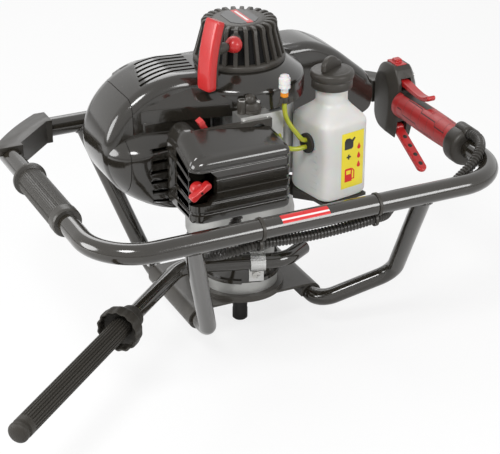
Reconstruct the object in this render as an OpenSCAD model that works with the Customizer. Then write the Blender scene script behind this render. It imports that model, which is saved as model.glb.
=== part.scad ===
// Two-stroke earth auger power head: engine over a reduction gear case, held in a carrying frame.
// Origin: output shaft axis at its lower end. +X runs right along the front bar, +Y to the rear, +Z up.

/* [Frame] */
// Outside diameter of the handle tubes
loop_d = 25; // [20:0.5:30]
// Wall of every frame tube
tube_wall = 2; // [1.2:0.1:3]
// Height of the handle loop above the shaft end
loop_z = 240; // [225:1:250]
// Distance of each side bar from the shaft axis
side_x = 265; // [258:1:280]
// Distance of the front bar ahead of the shaft axis
front_y = 208; // [202:1:220]
// Distance of the rear bar behind the shaft axis
rear_y = 177; // [165:1:195]
// Bend radius of the front corners
corner_r = 65; // [50:1:75]
// Size of the rear corner brackets along each bar
bracket_size = 74; // [64:1:84]
// Thickness of the corner brackets round the tubes
bracket_h = 31; // [29:0.5:36]
// Depth of the bracket sockets
socket_depth = 14; // [10:1:15]
// Outside diameter of the leg tubes
leg_d = 22; // [18:0.5:24]
// Height of the leg runs under the plate
leg_z = 42; // [38:0.5:46]
// Distance of the leg runs from the shaft axis
leg_x = 80; // [76:0.5:86]
// Sheet thickness of the gear case plate
plate_t = 3; // [2:0.5:4]
// Length of the plate along the leg runs
plate_len = 134; // [120:1:140]
// Distance from the shaft axis to the plate's front edge
plate_front = 48; // [44:1:56]

/* [Grips] */
// Outside diameter of the left rubber grip
left_grip_d = 35; // [30:0.5:40]
// Length of the left rubber grip
left_grip_len = 138; // [110:1:150]
// Outside diameter of the throttle grip
throttle_grip_d = 37; // [33:0.5:42]
// Length of the throttle grip
throttle_grip_len = 138; // [120:1:145]
// Height of the throttle housing
throttle_box_h = 100; // [90:1:110]
// Width of the throttle housing
throttle_box_w = 44; // [40:1:52]
// Length of the throttle trigger
trigger_len = 80; // [65:1:90]

/* [Support bar] */
// Diameter of the support bar
support_d = 20; // [16:0.5:22]
// Height of the support bar
support_z = 113; // [110:0.5:120]
// Diameter of the support bar's rubber grip
support_grip_d = 27; // [25:0.5:32]
// Diameter of the hand guard's mouth
guard_d = 54; // [46:1:64]

/* [Gear case] */
// Diameter of the output shaft
shaft_d = 20; // [18:0.5:22]
// Diameter of the cross hole for the tool's pin
cross_hole_d = 8; // [5:0.5:10]
// Height of the cross hole above the shaft end
cross_hole_z = 18; // [12:0.5:24]
// Gear tooth size as a module
gear_m = 1.75; // [1.6:0.05:1.8]
// Teeth of both pinions
pinion_n = 12; // [11:1:13]
// Teeth of both wheels
wheel_n = 48; // [44:1:50]
// Wall of the gear case
case_wall = 4; // [3:0.5:5]
// Thickness removed from every tooth for backlash
backlash = 0.35; // [0.2:0.05:0.5]

/* [Engine] */
// Height of the cylinder axis
cylinder_z = 283; // [280:0.5:286]
// Bore of the cylinder
bore_d = 44; // [40:0.5:46]
// Stroke of the crank
stroke = 30; // [26:0.5:32]
// Side of the square cooling fins
fin_w = 76; // [66:1:80]
// Number of cooling fins
fin_count = 9; // [6:1:10]
// Radius of the crankcase
crankcase_r = 60; // [56:1:64]
// Radius of the flywheel
flywheel_r = 50; // [44:1:56]
// Radius of the fan housing
fan_r = 80; // [74:1:84]
// Wall of the black covers
cowl_wall = 2.5; // [2:0.25:3.5]
// Width of the cylinder cowl from front to rear
cowl_w = 104; // [98:1:112]
// Reach of the cylinder cowl to the left of the shaft axis
cowl_reach = 195; // [188:1:202]

/* [Starter] */
// Radius of the starter housing at its base
starter_r = 52; // [48:0.5:55]
// Radius of the starter housing at its top
starter_top_r = 43; // [40:0.5:46]
// Height of the starter housing
starter_h = 52; // [46:0.5:58]
// Number of ribs round the starter housing
starter_ribs = 24; // [16:1:28]
// Height of the pull handle
pull_h = 84; // [70:1:95]
// Width of the pull handle
pull_w = 24; // [19:0.5:26]

/* [Filter and fuel] */
// Width of the filter cover
filter_w = 126; // [118:1:130]
// Height of the filter cover at its front
filter_h = 82; // [74:1:88]
// Depth of the filter cover
filter_depth = 48; // [46:1:54]
// Side of the fuel bottle
bottle_w = 69; // [62:1:70]
// Height of the fuel bottle up to its shoulders
bottle_h = 96; // [90:1:100]
// Wall of the fuel bottle
bottle_wall = 2; // [1.5:0.25:3]
// Diameter of the bottle's neck
neck_d = 39; // [36:0.5:42]
// Diameter of the cap's brim
cap_d = 53.5; // [51:0.5:56]
// Diameter of the fuel tubes
fuel_tube_d = 6; // [5:0.25:7]
// Outside diameter of the cable conduit
conduit_d = 13; // [10:0.5:14]

/* [Hidden] */
$fn = 48;
// Radial clearance of a running fit
run_fit = 0.05;
// Clearance of a sleeve, socket or seat
slip = 0.1;
// Clearance between bodies that move past each other
clear = 0.5;
// Overlength of a cutting tool past a face
over = 1;
// Swell of a bend over its tube, and the length of tube let into the bend
swell = 0.15;
let_in = 0.6;

// Paint and finish colours
black_paint = "#1c1c1c";
black_plastic = "#232323";
rubber_black = "#2b2b2b";
raw_alloy = "#b9b9b5";
bright_steel = "#a8a8a6";
signal_red = "#d8232a";

// Directions, tubes and bends
function unit(v) = v / norm(v);
function turn_at(a, b, c) = acos(unit(b - a) * unit(c - b));
function setback(a, b, c, r) = r * tan(turn_at(a, b, c) / 2);
function flat(p) = [p[0], p[1]];
function arc_points(centre, r, from, to, steps) =
  [for (i = [0:steps]) centre + r * [cos(from + (to - from) * i / steps),
                                     sin(from + (to - from) * i / steps)]];

module point_along(a, b) {
  d = b - a;
  translate(a) rotate([0, acos(d[2] / norm(d)), atan2(d[1], d[0])]) children();
}

module ring_face(d, bore) {
  difference() {
    circle(d = d);
    if (bore > 0) circle(d = bore);
  }
}

module straight(a, b, d, bore) {
  point_along(a, b) linear_extrude(norm(b - a)) ring_face(d, bore);
}

module elbow(a, b, c, r, d, bore) {
  u = unit(b - a);
  n = unit(cross(u, unit(c - b)));
  left = cross(n, u);
  o = b - u * setback(a, b, c, r) + left * r;
  multmatrix([[-left[0], u[0], n[0], o[0]],
              [-left[1], u[1], n[1], o[1]],
              [-left[2], u[2], n[2], o[2]],
              [0, 0, 0, 1]])
    rotate_extrude(angle = turn_at(a, b, c)) translate([r, 0])
      ring_face(d + 2 * swell, bore > 0 ? bore - 2 * swell : 0);
}

// Tube through the points of a path, rounded at each inner point to the radius in radii
module bent_tube(path, radii, d, bore) {
  last = len(path) - 1;
  for (i = [0:last - 1]) {
    u = unit(path[i + 1] - path[i]);
    from = i == 0 ? 0 : setback(path[i - 1], path[i], path[i + 1], radii[i - 1]) - let_in;
    to = i == last - 1 ? 0 : setback(path[i], path[i + 1], path[i + 2], radii[i]) - let_in;
    straight(path[i] + u * from, path[i + 1] - u * to, d, bore);
  }
  for (i = [1:1:last - 1]) elbow(path[i - 1], path[i], path[i + 1], radii[i - 1], d, bore);
}

module ring(outer, inner, h) {
  linear_extrude(h) ring_face(2 * outer, 2 * inner);
}

module rounded_square(w, l, r) {
  square([w - 2 * r, l], center = true);
  square([w, l - 2 * r], center = true);
  for (sx = [-1, 1], sy = [-1, 1]) translate([sx * (w / 2 - r), sy * (l / 2 - r)]) circle(r);
}

// Bar from side to side, drawn as a YZ outline pushed along X between two planes
module along_x(x0, x1) {
  translate([x0, 0, 0]) rotate([90, 0, 90]) linear_extrude(x1 - x0) children();
}

// XZ outline pushed along Y between two planes
module along_y(y0, y1) {
  translate([0, y1, 0]) rotate([90, 0, 0]) linear_extrude(y1 - y0) children();
}

// Involute gears
function involute(a) = tan(a) * 180 / PI - a;
function half_tooth(r, base, at_pitch, pressure) =
  at_pitch + involute(pressure) - (r > base ? involute(acos(base / r)) : 0);
function gear_outline(n, m, thin) =
  let (pressure = 25,
       pitch = n * m / 2,
       base = pitch * cos(pressure),
       root = pitch - 1.35 * m,
       tip = pitch + 0.95 * m,
       at_pitch = 90 / n - thin / pitch * 90 / PI,
       steps = [root, max(root, base) + 0.01, pitch, tip],
       half = [for (r = steps) half_tooth(r, base, at_pitch, pressure)])
  [for (i = [0:n - 1], side = [-1, 1], k = [0:3])
    let (j = side < 0 ? k : 3 - k, a = 360 * i / n + side * half[j])
      steps[j] * [cos(a), sin(a)]];

module gear(n, h) {
  linear_extrude(h) polygon(gear_outline(n, gear_m, backlash));
}

// Levels up the shaft axis
loop_bore = loop_d - 2 * tube_wall;
leg_bore = leg_d - 2 * tube_wall;
sleeve_in = leg_d / 2 + slip;
plate_top = leg_z + sleeve_in + plate_t;
case_z = plate_top;
case_floor = 6;
gear_gap = 1;
wheel_t = 12;
output_gear_z = case_z + case_floor + gear_gap;
input_gear_z = output_gear_z + wheel_t + 4;
case_split = input_gear_z - 2;
case_roof = 5;
case_top = input_gear_z + wheel_t + 2 + case_roof;
lay_y = (pinion_n + wheel_n) * gear_m / 2;
wheel_tip = wheel_n * gear_m / 2 + 0.95 * gear_m;
case_in = wheel_tip + 1;
case_r = case_in + case_wall;
nose_r = shaft_d / 2 + 14;
// Seat of the bearing and the output wheel, a step larger than the free end
seat_d = shaft_d + 2;
bearing_w = 11;
bearing_wall = 9;
crankcase_z = 212;
crank_deck = 4;
crankcase_top = cylinder_z + fin_w / 2 + crank_deck;
crank_d = 16;
drum_shaft_d = 12;
bush_wall = 3;
drum_r = 40;
drum_z = 174;
drum_h = 30;
drum_roof = 4;
shaft_top = input_gear_z - clear;
pilot_d = 9;
pilot_len = 9;
fan_h = 41;
fan_top = crankcase_top + fan_h;
flywheel_z = crankcase_top + 8;
flywheel_h = 18;
starter_z = fan_top;
web_r = stroke / 2 + 12;
pin_r = 5.5;
web_t = 9;
rod_t = 11;
crank_room = web_r + 2;

// Corner and size of the carburettor block
carb_at = [-44, -fan_r - 18, crankcase_top - 29];
carb = [40, 24, 34];

// Places round the frame
left_top_front = [-157, -front_y, loop_z];
left_top_rear = [-146, rear_y, loop_z];
left_foot_front = [-leg_x, -76, leg_z];
left_foot_rear = [-leg_x, 112, leg_z];
right_knee = [170, -104, 80];
right_top_front = [146, -front_y, loop_z];
right_foot_front = [leg_x, -72, leg_z];
right_foot_rear = [leg_x, 112, leg_z];
right_top_rear = [146, rear_y, loop_z];
bracket_front = rear_y - bracket_size;
bracket_in = side_x - bracket_size;
left_grip_rear = 38;
throttle_front = 46;
grip_front = throttle_front - throttle_grip_len;
cap_len = 26;
cap_front = grip_front - cap_len;

module loop_tube(d, bore) {
  end = bracket_front + socket_depth;
  bent_tube([[-side_x, end, loop_z], [-side_x, -front_y, loop_z],
             [side_x, -front_y, loop_z], [side_x, end, loop_z]],
            [corner_r, corner_r], d, bore);
}

module handle_loop() {
  color(black_paint) loop_tube(loop_d, loop_bore);
}

module rear_tube(d, bore) {
  end = bracket_in + socket_depth;
  straight([-end, rear_y, loop_z], [end, rear_y, loop_z], d, bore);
}

module rear_bar() {
  color(black_paint) rear_tube(loop_d, loop_bore);
}

// One rear corner: a flat-topped gusset with a socket for each tube, cut off inside and out
module corner_bracket() {
  half = bracket_h / 2;
  swell = 4;
  from = [-bracket_in - socket_depth, rear_y + half];
  to = [-side_x - half, bracket_front + socket_depth];
  outline = concat([[-side_x - half, bracket_front], [-side_x + half, bracket_front],
                    [-side_x + half, bracket_front + 8], [-bracket_in - 8, rear_y - half],
                    [-bracket_in, rear_y - half], [-bracket_in, rear_y + half]],
                   [for (i = [0:8]) let (t = i / 8)
                     from + t * (to - from) + 4 * t * (1 - t) * swell * [-1, 1] / sqrt(2)]);
  difference() {
    translate([0, 0, loop_z - half]) linear_extrude(bracket_h) polygon(outline);
    translate([-side_x, bracket_front - over, loop_z]) rotate([-90, 0, 0])
      cylinder(d = loop_d + 2 * slip, h = socket_depth + over + slip);
    translate([-bracket_in + over, rear_y, loop_z]) rotate([0, -90, 0])
      cylinder(d = loop_d + 2 * slip, h = socket_depth + over + slip);
  }
}

module corner_brackets() {
  color(black_paint) {
    corner_bracket();
    mirror([1, 0, 0]) corner_bracket();
  }
}

// The legs are coped to the underside of the front and rear bars
module cope_to_bars() {
  difference() {
    children();
    for (y = [-front_y, rear_y])
      translate([-side_x, y, loop_z]) rotate([0, 90, 0])
        cylinder(d = loop_d + 2 * slip, h = 2 * side_x);
    translate([-side_x, -front_y - loop_d, loop_z + loop_d / 4])
      cube([2 * side_x, front_y + rear_y + 2 * loop_d, loop_d]);
  }
}

module left_leg() {
  color(black_paint) cope_to_bars()
    bent_tube([left_top_front, left_foot_front, left_foot_rear, left_top_rear],
              [26, 34], leg_d, leg_bore);
}

module right_leg() {
  color(black_paint) cope_to_bars()
    bent_tube([right_top_front, right_knee, right_foot_front, right_foot_rear, right_top_rear],
              [30, 30, 34], leg_d, leg_bore);
}

// Sheet plate, its two edges rolled round the leg runs, with a locating rim for the gear case
module base_plate() {
  y0 = -plate_front;
  y1 = plate_len - plate_front;
  sleeve_out = sleeve_in + plate_t;
  color(black_paint) difference() {
    union() {
      along_y(y0, y1) for (side = [-1, 1]) translate([side * leg_x, leg_z]) difference() {
        circle(sleeve_out);
        circle(sleeve_in);
        translate([-side * sleeve_out, -sleeve_out])
          square([2 * sleeve_out, sleeve_out * 2 - plate_t * 2], center = true);
      }
      translate([-leg_x, y0, plate_top - plate_t]) cube([2 * leg_x, plate_len, plate_t]);
      translate([0, 0, plate_top - plate_t]) ring(case_r + 8, case_r + slip, plate_t + 5);
    }
    translate([0, 0, plate_top - 20]) cylinder(r = nose_r + clear, h = 40);
    for (a = bolt_angles)
      rotate(a) translate([plate_bolt_r, 0, plate_top - 20]) cylinder(d = bolt_d + 2 * slip, h = 20);
    translate([0, lay_y, plate_top]) cylinder(r = case_r + slip, h = 20);
  }
}

// Left rubber grip with a rear flange and grip rings
module left_grip() {
  r = left_grip_d / 2;
  rings = 11;
  pitch = (left_grip_len - 34) / rings;
  color(rubber_black) translate([-side_x, left_grip_rear, loop_z]) rotate([90, 0, 0])
    difference() {
      union() {
        cylinder(r = r + 3.5, h = 7);
        cylinder(r = r - 1.5, h = left_grip_len - 8);
        translate([0, 0, 12]) for (i = [0:rings - 1])
          translate([0, 0, i * pitch]) cylinder(r = r, h = pitch - 2);
        translate([0, 0, left_grip_len - 16]) cylinder(r = r + 1, h = 16);
      }
      translate([0, 0, -over]) cylinder(d = loop_d + 2 * slip, h = left_grip_len + 2 * over);
    }
}

// Throttle handle
throttle_x0 = side_x - throttle_box_w / 2 + 4;
throttle_x1 = throttle_x0 + throttle_box_w;
throttle_split = side_x + 4;
throttle_top = loop_z + throttle_box_h / 2;
throttle_low = loop_z - throttle_box_h / 2;
throttle_rear = bracket_front - clear;
throttle_box_len = throttle_rear - throttle_front;
trigger_pivot = [throttle_front + 12, throttle_low + 12];
trigger_t = 7;
trigger_w = 14;
trigger_droop = 27;
lever_pivot = [throttle_front + 9, loop_z + 28];
switch_len = 26;
switch_w = 16;
switch_travel = 6;
housing_wall = 3;
pivot_r = 2.5;

function housing_outline(inset) =
  let (y0 = throttle_front + inset, y1 = throttle_rear - inset,
       z0 = throttle_low + inset, z1 = throttle_top - inset, r = 26 - inset)
  concat([[y0 + 6, z0], [y0, z0 + 30], [y0, z1 - 22], [y0 + 12, z1]],
         arc_points([y1 - r, z1 - r], r, 90, 0, 8), arc_points([y1 - r, z0 + r], r, 0, -90, 8));

// Each half carries its part of both pivot pins; the casting has a boss round the bar
module housing_half(x0, x1) {
  color(black_plastic) {
    housing_casting(x0, x1);
    for (p = [trigger_pivot, lever_pivot])
      translate([x0 == throttle_x0 ? x0 + over : x0, p[0], p[1]]) rotate([0, 90, 0])
        cylinder(r = pivot_r, h = x1 - x0 - over);
  }
}

module housing_casting(x0, x1) {
  inner_x0 = x0 == throttle_x0 ? x0 + housing_wall : x0 - over;
  inner_x1 = x1 == throttle_x1 ? x1 - housing_wall : x1 + over;
  difference() {
    union() {
      difference() {
        along_x(x0, x1) polygon(housing_outline(0));
        along_x(inner_x0, inner_x1) polygon(housing_outline(housing_wall));
      }
      intersection() {
        along_x(x0, x1) polygon(housing_outline(housing_wall / 2));
        union() {
          translate([side_x, throttle_front, loop_z]) rotate([-90, 0, 0])
            cylinder(d = loop_d + 8, h = throttle_box_len);
        }
      }
    }
    translate([side_x, throttle_front - over, loop_z]) rotate([-90, 0, 0])
      cylinder(d = loop_d + 2 * slip, h = throttle_box_len + 2 * over);
    translate([side_x - trigger_w / 2 - clear, throttle_front - over, throttle_low - over])
      cube([trigger_w + 2 * clear, 24, 25]);
    translate([throttle_split - trigger_w / 2 - clear, throttle_front - over, lever_pivot[1] - 9])
      cube([trigger_w + 2 * clear, 20, 16]);
    translate([throttle_split - switch_w / 2 - clear, throttle_front + 14, throttle_top - 6])
      cube([switch_w + 2 * clear, switch_len + switch_travel + 4, 12]);
  }
}

module throttle_housing_left() {
  housing_half(throttle_x0, throttle_split);
}

module throttle_housing_right() {
  housing_half(throttle_split + slip, throttle_x1);
}

// Red grip sleeve with stepped grooves along it
module throttle_grip() {
  r = throttle_grip_d / 2;
  groove = 1;
  color(signal_red) translate([side_x, throttle_front - slip, loop_z]) rotate([90, 0, 0])
    difference() {
      cylinder(r = r, h = throttle_grip_len - 2 * slip);
      translate([0, 0, -over]) cylinder(d = loop_d + 2 * slip, h = throttle_grip_len + 2 * over);
      for (z = [28:16:throttle_grip_len - 20]) translate([0, 0, z]) difference() {
        cylinder(r = r + over, h = groove);
        translate([0, 0, -over]) cylinder(r = r - groove, h = 4);
      }
    }
}

// End cap of the throttle grip with the conduit's socket over the bar
conduit_z = loop_z + loop_d / 2 + conduit_d / 2 + 1;
module throttle_end_cap() {
  color(black_plastic) difference() {
    union() {
      translate([side_x, grip_front - slip, loop_z]) rotate([90, 0, 0]) cylinder(r = 25, h = cap_len);
      translate([side_x - 9, cap_front - slip, loop_z]) cube([18, cap_len, conduit_z - loop_z + 9]);
    }
    translate([side_x, cap_front - over, loop_z]) rotate([-90, 0, 0])
      cylinder(d = loop_d + 2 * slip, h = cap_len + 2 * over);
    translate([side_x, cap_front - over, conduit_z]) rotate([-90, 0, 0])
      cylinder(d = conduit_d - 3, h = cap_len / 2);
    translate([side_x - 26, cap_front + 8, loop_z - 12]) cube([4, 6, 24]);
  }
}

// Lever outlines below run forward from a pivot at their origin
module lever_bar(len, thick, eye) {
  difference() {
    union() {
      circle(eye);
      translate([-len, -thick / 2]) square([len, thick]);
      translate([-len, 0]) circle(thick / 2);
    }
    circle(pivot_r + run_fit);
  }
}

module throttle_trigger() {
  dots = 4;
  dot_pitch = trigger_len / 5;
  color(signal_red) translate([side_x, trigger_pivot[0], trigger_pivot[1]]) rotate([trigger_droop, 0, 0])
    difference() {
      along_x(-trigger_w / 2, trigger_w / 2) lever_bar(trigger_len, trigger_t, 6.5);
      for (i = [1:dots])
        translate([0, -i * dot_pitch - 6, -trigger_t / 2 - over]) cylinder(d = 5, h = over + 1);
    }
}

module lock_lever() {
  len = 62;
  color(signal_red) translate([throttle_split, lever_pivot[0], lever_pivot[1]]) rotate([-4, 0, 0])
    union() {
      along_x(-trigger_w / 2, trigger_w / 2) lever_bar(len, 5, 6);
      translate([-trigger_w / 2, -len, 2]) cube([trigger_w, 12, 4]);
    }
}

module stop_switch() {
  seat = throttle_top - 6 + clear;
  y0 = throttle_front + 14 + clear;
  color(signal_red) union() {
    translate([throttle_split - switch_w / 2, y0, seat]) cube([switch_w, switch_len, 6.5]);
    translate([throttle_split - 5, y0 + 8, seat]) cube([10, 10, 11]);
  }
}

// Corrugated conduit of the throttle cable, tied under the front bar in two places
tie_x = [-72, 80];
tie_drop = [4, 20.5];
function tie_at(x) = [x, tie_drop[0] - front_y, loop_z - tie_drop[1]];
conduit_end = [carb_at[0] + 16, carb_at[1] + 12, carb_at[2] - slip];
conduit_route = [[side_x, cap_front - 2 * slip, conduit_z], [265, -138, 261.5], [253, -160, 259.5],
  [236, -173, 249.5], [214, -180, 238], [191, -186, 229], [168, -178, 222], [148, -166, 217],
    [126, -170, 213],
  [110, -184, 214], [98, -196, 216.5], tie_at(tie_x[1]), [50, -206, 218], [10, -206, 216.5],
    [-30, -206, 217.5],
  tie_at(tie_x[0]), [-100, -200, 214.5], [-116, -187, 207], [-118, -166, 197], [-110, -142, 187],
  [-88, -120, 183], [-60, -104, 191], [-40, -92, 213], [-30, -87, 243], [-28, -86, 270],
  conduit_end];
conduit_ribs = 130;
conduit_sides = 8;
conduit_bore = conduit_d - 5;

function spline(p, i, t) =
  let (a = p[max(i - 1, 0)], b = p[i], c = p[i + 1], d = p[min(i + 2, len(p) - 1)])
  0.5 * (2 * b + (c - a) * t + (2 * a - 5 * b + 4 * c - d) * t * t
         + (3 * b - a - 3 * c + d) * t * t * t);
function route_at(p, s) =
  let (x = min(s, 0.99999) * (len(p) - 1), i = floor(x)) spline(p, i, x - i);
function route_dir(p, s) =
  s < 0.001 ? [0, -1, 0] : s > 0.999 ? [0, 0, 1]
  : unit(route_at(p, min(s + 0.002, 1)) - route_at(p, max(s - 0.002, 0)));
function hose_ring(p, s, r, sides) =
  let (t = route_dir(p, s), u = unit(cross(t, [0.5, 0.7, -0.5])), v = cross(t, u), o = route_at(p, s))
  [for (k = [0:sides - 1]) o + r * (cos(360 * k / sides) * u + sin(360 * k / sides) * v)];
function band(first, next, sides, flip) =
  [for (k = [0:sides - 1]) let (a = first + k, b = first + (k + 1) % sides,
                                c = next + k, d = next + (k + 1) % sides)
    each flip ? [[a, b, c], [b, d, c]] : [[a, c, b], [b, c, d]]];

module ribbed_hose(p, d, bore, ribs, sides) {
  valley = 0.86;
  rings = 2 * ribs;
  bore_rings = floor(ribs / 2);
  outer = [for (i = [0:rings]) each
    hose_ring(p, i / rings, i % 2 == 0 ? d / 2 : d / 2 * valley, sides)];
  inner = [for (i = [0:bore_rings]) each hose_ring(p, i / bore_rings, bore / 2, sides)];
  base = len(outer);
  skin = [for (i = [0:rings - 1]) each band(i * sides, (i + 1) * sides, sides, false)];
  lining = [for (i = [0:bore_rings - 1]) each
    band(base + i * sides, base + (i + 1) * sides, sides, true)];
  near = band(0, base, sides, true);
  far = band(rings * sides, base + bore_rings * sides, sides, false);
  polyhedron(concat(outer, inner), concat(skin, lining, near, far));
}

module cable_conduit() {
  color(rubber_black) ribbed_hose(conduit_route, conduit_d, conduit_bore, conduit_ribs, conduit_sides);
}

// Ties that hold the conduit to the front bar
module cable_ties() {
  tie_w = 4;
  tie_t = 1.4;
  bar = loop_d / 2 + slip;
  hose = conduit_d / 2 + clear + 0.8;
  color(rubber_black) for (x = tie_x)
    translate([0, -front_y, loop_z]) along_x(x - tie_w / 2, x + tie_w / 2) difference() {
      union() {
        circle(bar + tie_t);
        translate([tie_drop[0], -tie_drop[1]]) circle(hose + tie_t);
      }
      circle(bar);
      translate([tie_drop[0], -tie_drop[1]]) circle(hose);
    }
}

// Support bar, its clamp and grip
clamp_at = [-4, -60.5, support_z];
bar_right = [66, -50, support_z];
bar_bend = [30, -71.5, support_z];
bar_left = [-96, -30.5, support_z];
bar_end = [-404, -304, support_z];
bar_out = unit(bar_end - bar_left);
clamp_turn = atan2(bar_bend[1] - bar_left[1], bar_bend[0] - bar_left[0]);
support_grip_len = 250;
guard_len = 42;
guard_wall = 3;
collar_len = 26;
clamp_w = 19;
clamp_t = 2.5;
clamp_half = 33;
clamp_pad_y = support_d / 2 + 1;
screw_z = 23;

module support_bar() {
  color(black_paint)
    bent_tube([bar_right, bar_bend, bar_left, bar_end - bar_out * 6], [40, 42],
      support_d, support_d - 2 * tube_wall);
}

module support_grip() {
  flutes = 16;
  r = support_grip_d / 2;
  from = bar_end - bar_out * support_grip_len;
  color(rubber_black) point_along(from, bar_end) difference() {
    union() {
      cylinder(r = r, h = support_grip_len - 10);
      translate([0, 0, support_grip_len - 12]) cylinder(r = r - 2, h = 12);
      translate([0, 0, support_grip_len - 7]) cylinder(r = r, h = 7);
    }
    translate([0, 0, -over]) cylinder(d = support_d + 2 * slip, h = support_grip_len - 6 + over + slip);
    for (i = [0:flutes - 1]) rotate(360 * i / flutes)
      translate([r, 0, 8]) cube([1.6, 1.4, 2 * support_grip_len - 40], center = true);
  }
}

module hand_guard() {
  from = bar_end - bar_out * (support_grip_len + collar_len);
  mouth = guard_d / 2;
  neck = support_grip_d / 2 + 1.5;
  bore = support_d / 2 + slip;
  grip_room = support_grip_d / 2 + 1;
  color(rubber_black) point_along(from, bar_end) rotate_extrude()
    polygon([[bore, 0], [neck - 1, 0], [neck, 1], [neck, collar_len - 8], [mouth - 3, collar_len - 2],
             [mouth, collar_len + 2], [mouth, guard_len], [mouth - guard_wall, guard_len],
             [mouth - guard_wall, collar_len + 4], [grip_room, collar_len - 0.2], [bore, collar_len - 0.2]]);
}

// Zinc strap over the bar, screwed above and below to the casting behind it
module clamp_frame() {
  translate(clamp_at) rotate(clamp_turn) children();
}

module bar_clamp() {
  r = support_d / 2 + slip;
  color(bright_steel) clamp_frame() difference() {
    union() {
      rotate([0, 90, 0]) cylinder(r = r + clamp_t, h = clamp_w, center = true);
      translate([-clamp_w / 2, clamp_pad_y - clamp_t, -clamp_half]) cube([clamp_w, clamp_t, 2 * clamp_half]);
    }
    rotate([0, 90, 0]) cylinder(r = r, h = clamp_w + 2 * over, center = true);
    translate([-clamp_w, clamp_pad_y, -clamp_half - over]) cube([2 * clamp_w, 20, 2 * clamp_half + 2 * over]);
    for (z = [-screw_z, screw_z]) translate([0, 0, z]) rotate([90, 0, 0])
      cylinder(d = bolt_d + 2 * slip, h = 60, center = true);
  }
}

// Screws: two in the clamp, four under the plate
bolt_d = 6;
bolt_angles = [50, 130, 230, 310];
plate_bolt_r = 38;

module screw(len, head_h) {
  difference() {
    union() {
      translate([0, 0, slip]) cylinder(d = bolt_d * 1.8, h = head_h);
      translate([0, 0, -len]) cylinder(d = bolt_d, h = len + slip);
    }
    for (a = [0, 90]) rotate(a)
      translate([0, 0, head_h + slip]) cube([bolt_d * 1.2, 1.4, 3], center = true);
  }
}

module machine_screws() {
  color(bright_steel) {
    clamp_frame() for (z = [-screw_z, screw_z])
      translate([0, clamp_pad_y - clamp_t, z]) rotate([90, 0, 0]) screw(clamp_t + 3.5, 4);
    for (a = bolt_angles) rotate(a) translate([plate_bolt_r, 0, plate_top - plate_t])
      rotate([180, 0, 0]) screw(plate_t + 4, 4);
  }
}

// Gear case: pear-shaped halves round the output wheel and the offset layshaft
module pear(r) {
  circle(r);
  translate([0, lay_y]) circle(r);
}

clamp_pad_depth = 26;
module clamp_pad(z0, z1) {
  clamp_frame() translate([-clamp_w / 2, clamp_pad_y + slip, z0 - support_z])
    cube([clamp_w, clamp_pad_depth, z1 - z0]);
}

module clamp_screw_holes() {
  clamp_frame() for (z = [-screw_z, screw_z]) translate([0, 0, z]) rotate([-90, 0, 0])
    cylinder(d = bolt_d + 2 * slip, h = clamp_pad_y + 3.8);
}

nose_low = leg_z + 2;
output_bearing_z = case_z + case_floor - bearing_w - 1;

module gear_case_lower() {
  color(raw_alloy) difference() {
    union() {
      translate([0, 0, case_z]) linear_extrude(case_split - case_z) pear(case_r);
      translate([0, 0, nose_low]) cylinder(r = nose_r, h = case_z - nose_low + over);
    }
    translate([0, 0, case_z + case_floor]) linear_extrude(case_split - case_z) pear(case_in);
    translate([0, 0, output_bearing_z])
      cylinder(r = seat_d / 2 + bearing_wall + slip, h = bearing_w + 2);
    translate([0, 0, nose_low - over]) cylinder(d = seat_d + 4 * clear, h = 40);
    translate([0, lay_y, case_z - over])
      cylinder(d = drum_shaft_d + 2 * bush_wall + 2 * slip, h = case_floor + 2 * over);
    for (a = bolt_angles) rotate(a) translate([plate_bolt_r, 0, case_z - over])
      cylinder(d = bolt_d + 2 * slip, h = 4.5 + over);
  }
}

module gear_case_upper() {
  lip = 3;
  color(black_paint) difference() {
    union() {
      translate([0, 0, case_split]) linear_extrude(case_top - case_split) pear(case_r);
      translate([0, 0, case_split]) linear_extrude(lip + 2) pear(case_r + lip);
      translate([0, 0, case_top - over])
        cylinder(r = drum_shaft_d / 2 + bearing_wall + 4, h = bearing_w + over);
    }
    translate([0, 0, case_split - over])
      linear_extrude(case_top - case_split - case_roof + over) pear(case_in);
    translate([0, 0, case_top - 2]) cylinder(r = drum_shaft_d / 2 + bearing_wall + slip, h = bearing_w + 4);
    translate([0, 0, case_split]) cylinder(d = drum_shaft_d + 4 * clear, h = 60);
    translate([0, lay_y, case_top - case_roof - over])
      cylinder(d = drum_shaft_d + 2 * bush_wall + 2 * slip, h = case_roof - 1 + over);
    clamp_screw_holes();
    clamp_frame() translate([-clamp_w, -40, -60]) cube([2 * clamp_w, 40 + clamp_pad_y + slip, 120]);
  }
}

// Output shaft with a chamfered end, a cross hole for the tool's pin and a pilot bore on top
module output_shaft() {
  chamfer = 2;
  r = shaft_d / 2;
  color(bright_steel) difference() {
    rotate_extrude()
      polygon([[0, 0], [r - chamfer, 0], [r, chamfer], [r, nose_low - over], [seat_d / 2, nose_low - over],
                              [seat_d / 2, shaft_top], [0, shaft_top]]);
    translate([0, 0, shaft_top - pilot_len - clear]) cylinder(d = pilot_d + 2 * run_fit, h = pilot_len + 2);
    translate([0, 0, cross_hole_z]) rotate([90, 0, 65])
      cylinder(d = cross_hole_d, h = 2 * shaft_d, center = true);
  }
}

module output_gear() {
  color(bright_steel) translate([0, 0, output_gear_z]) difference() {
    rotate(180 / wheel_n) gear(wheel_n, wheel_t);
    translate([0, 0, -over]) cylinder(d = seat_d, h = wheel_t + 2 * over);
    for (a = [30:60:330]) rotate(a) translate([wheel_tip * 0.58, 0, -over])
      cylinder(d = 13, h = wheel_t + 2 * over);
  }
}

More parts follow.
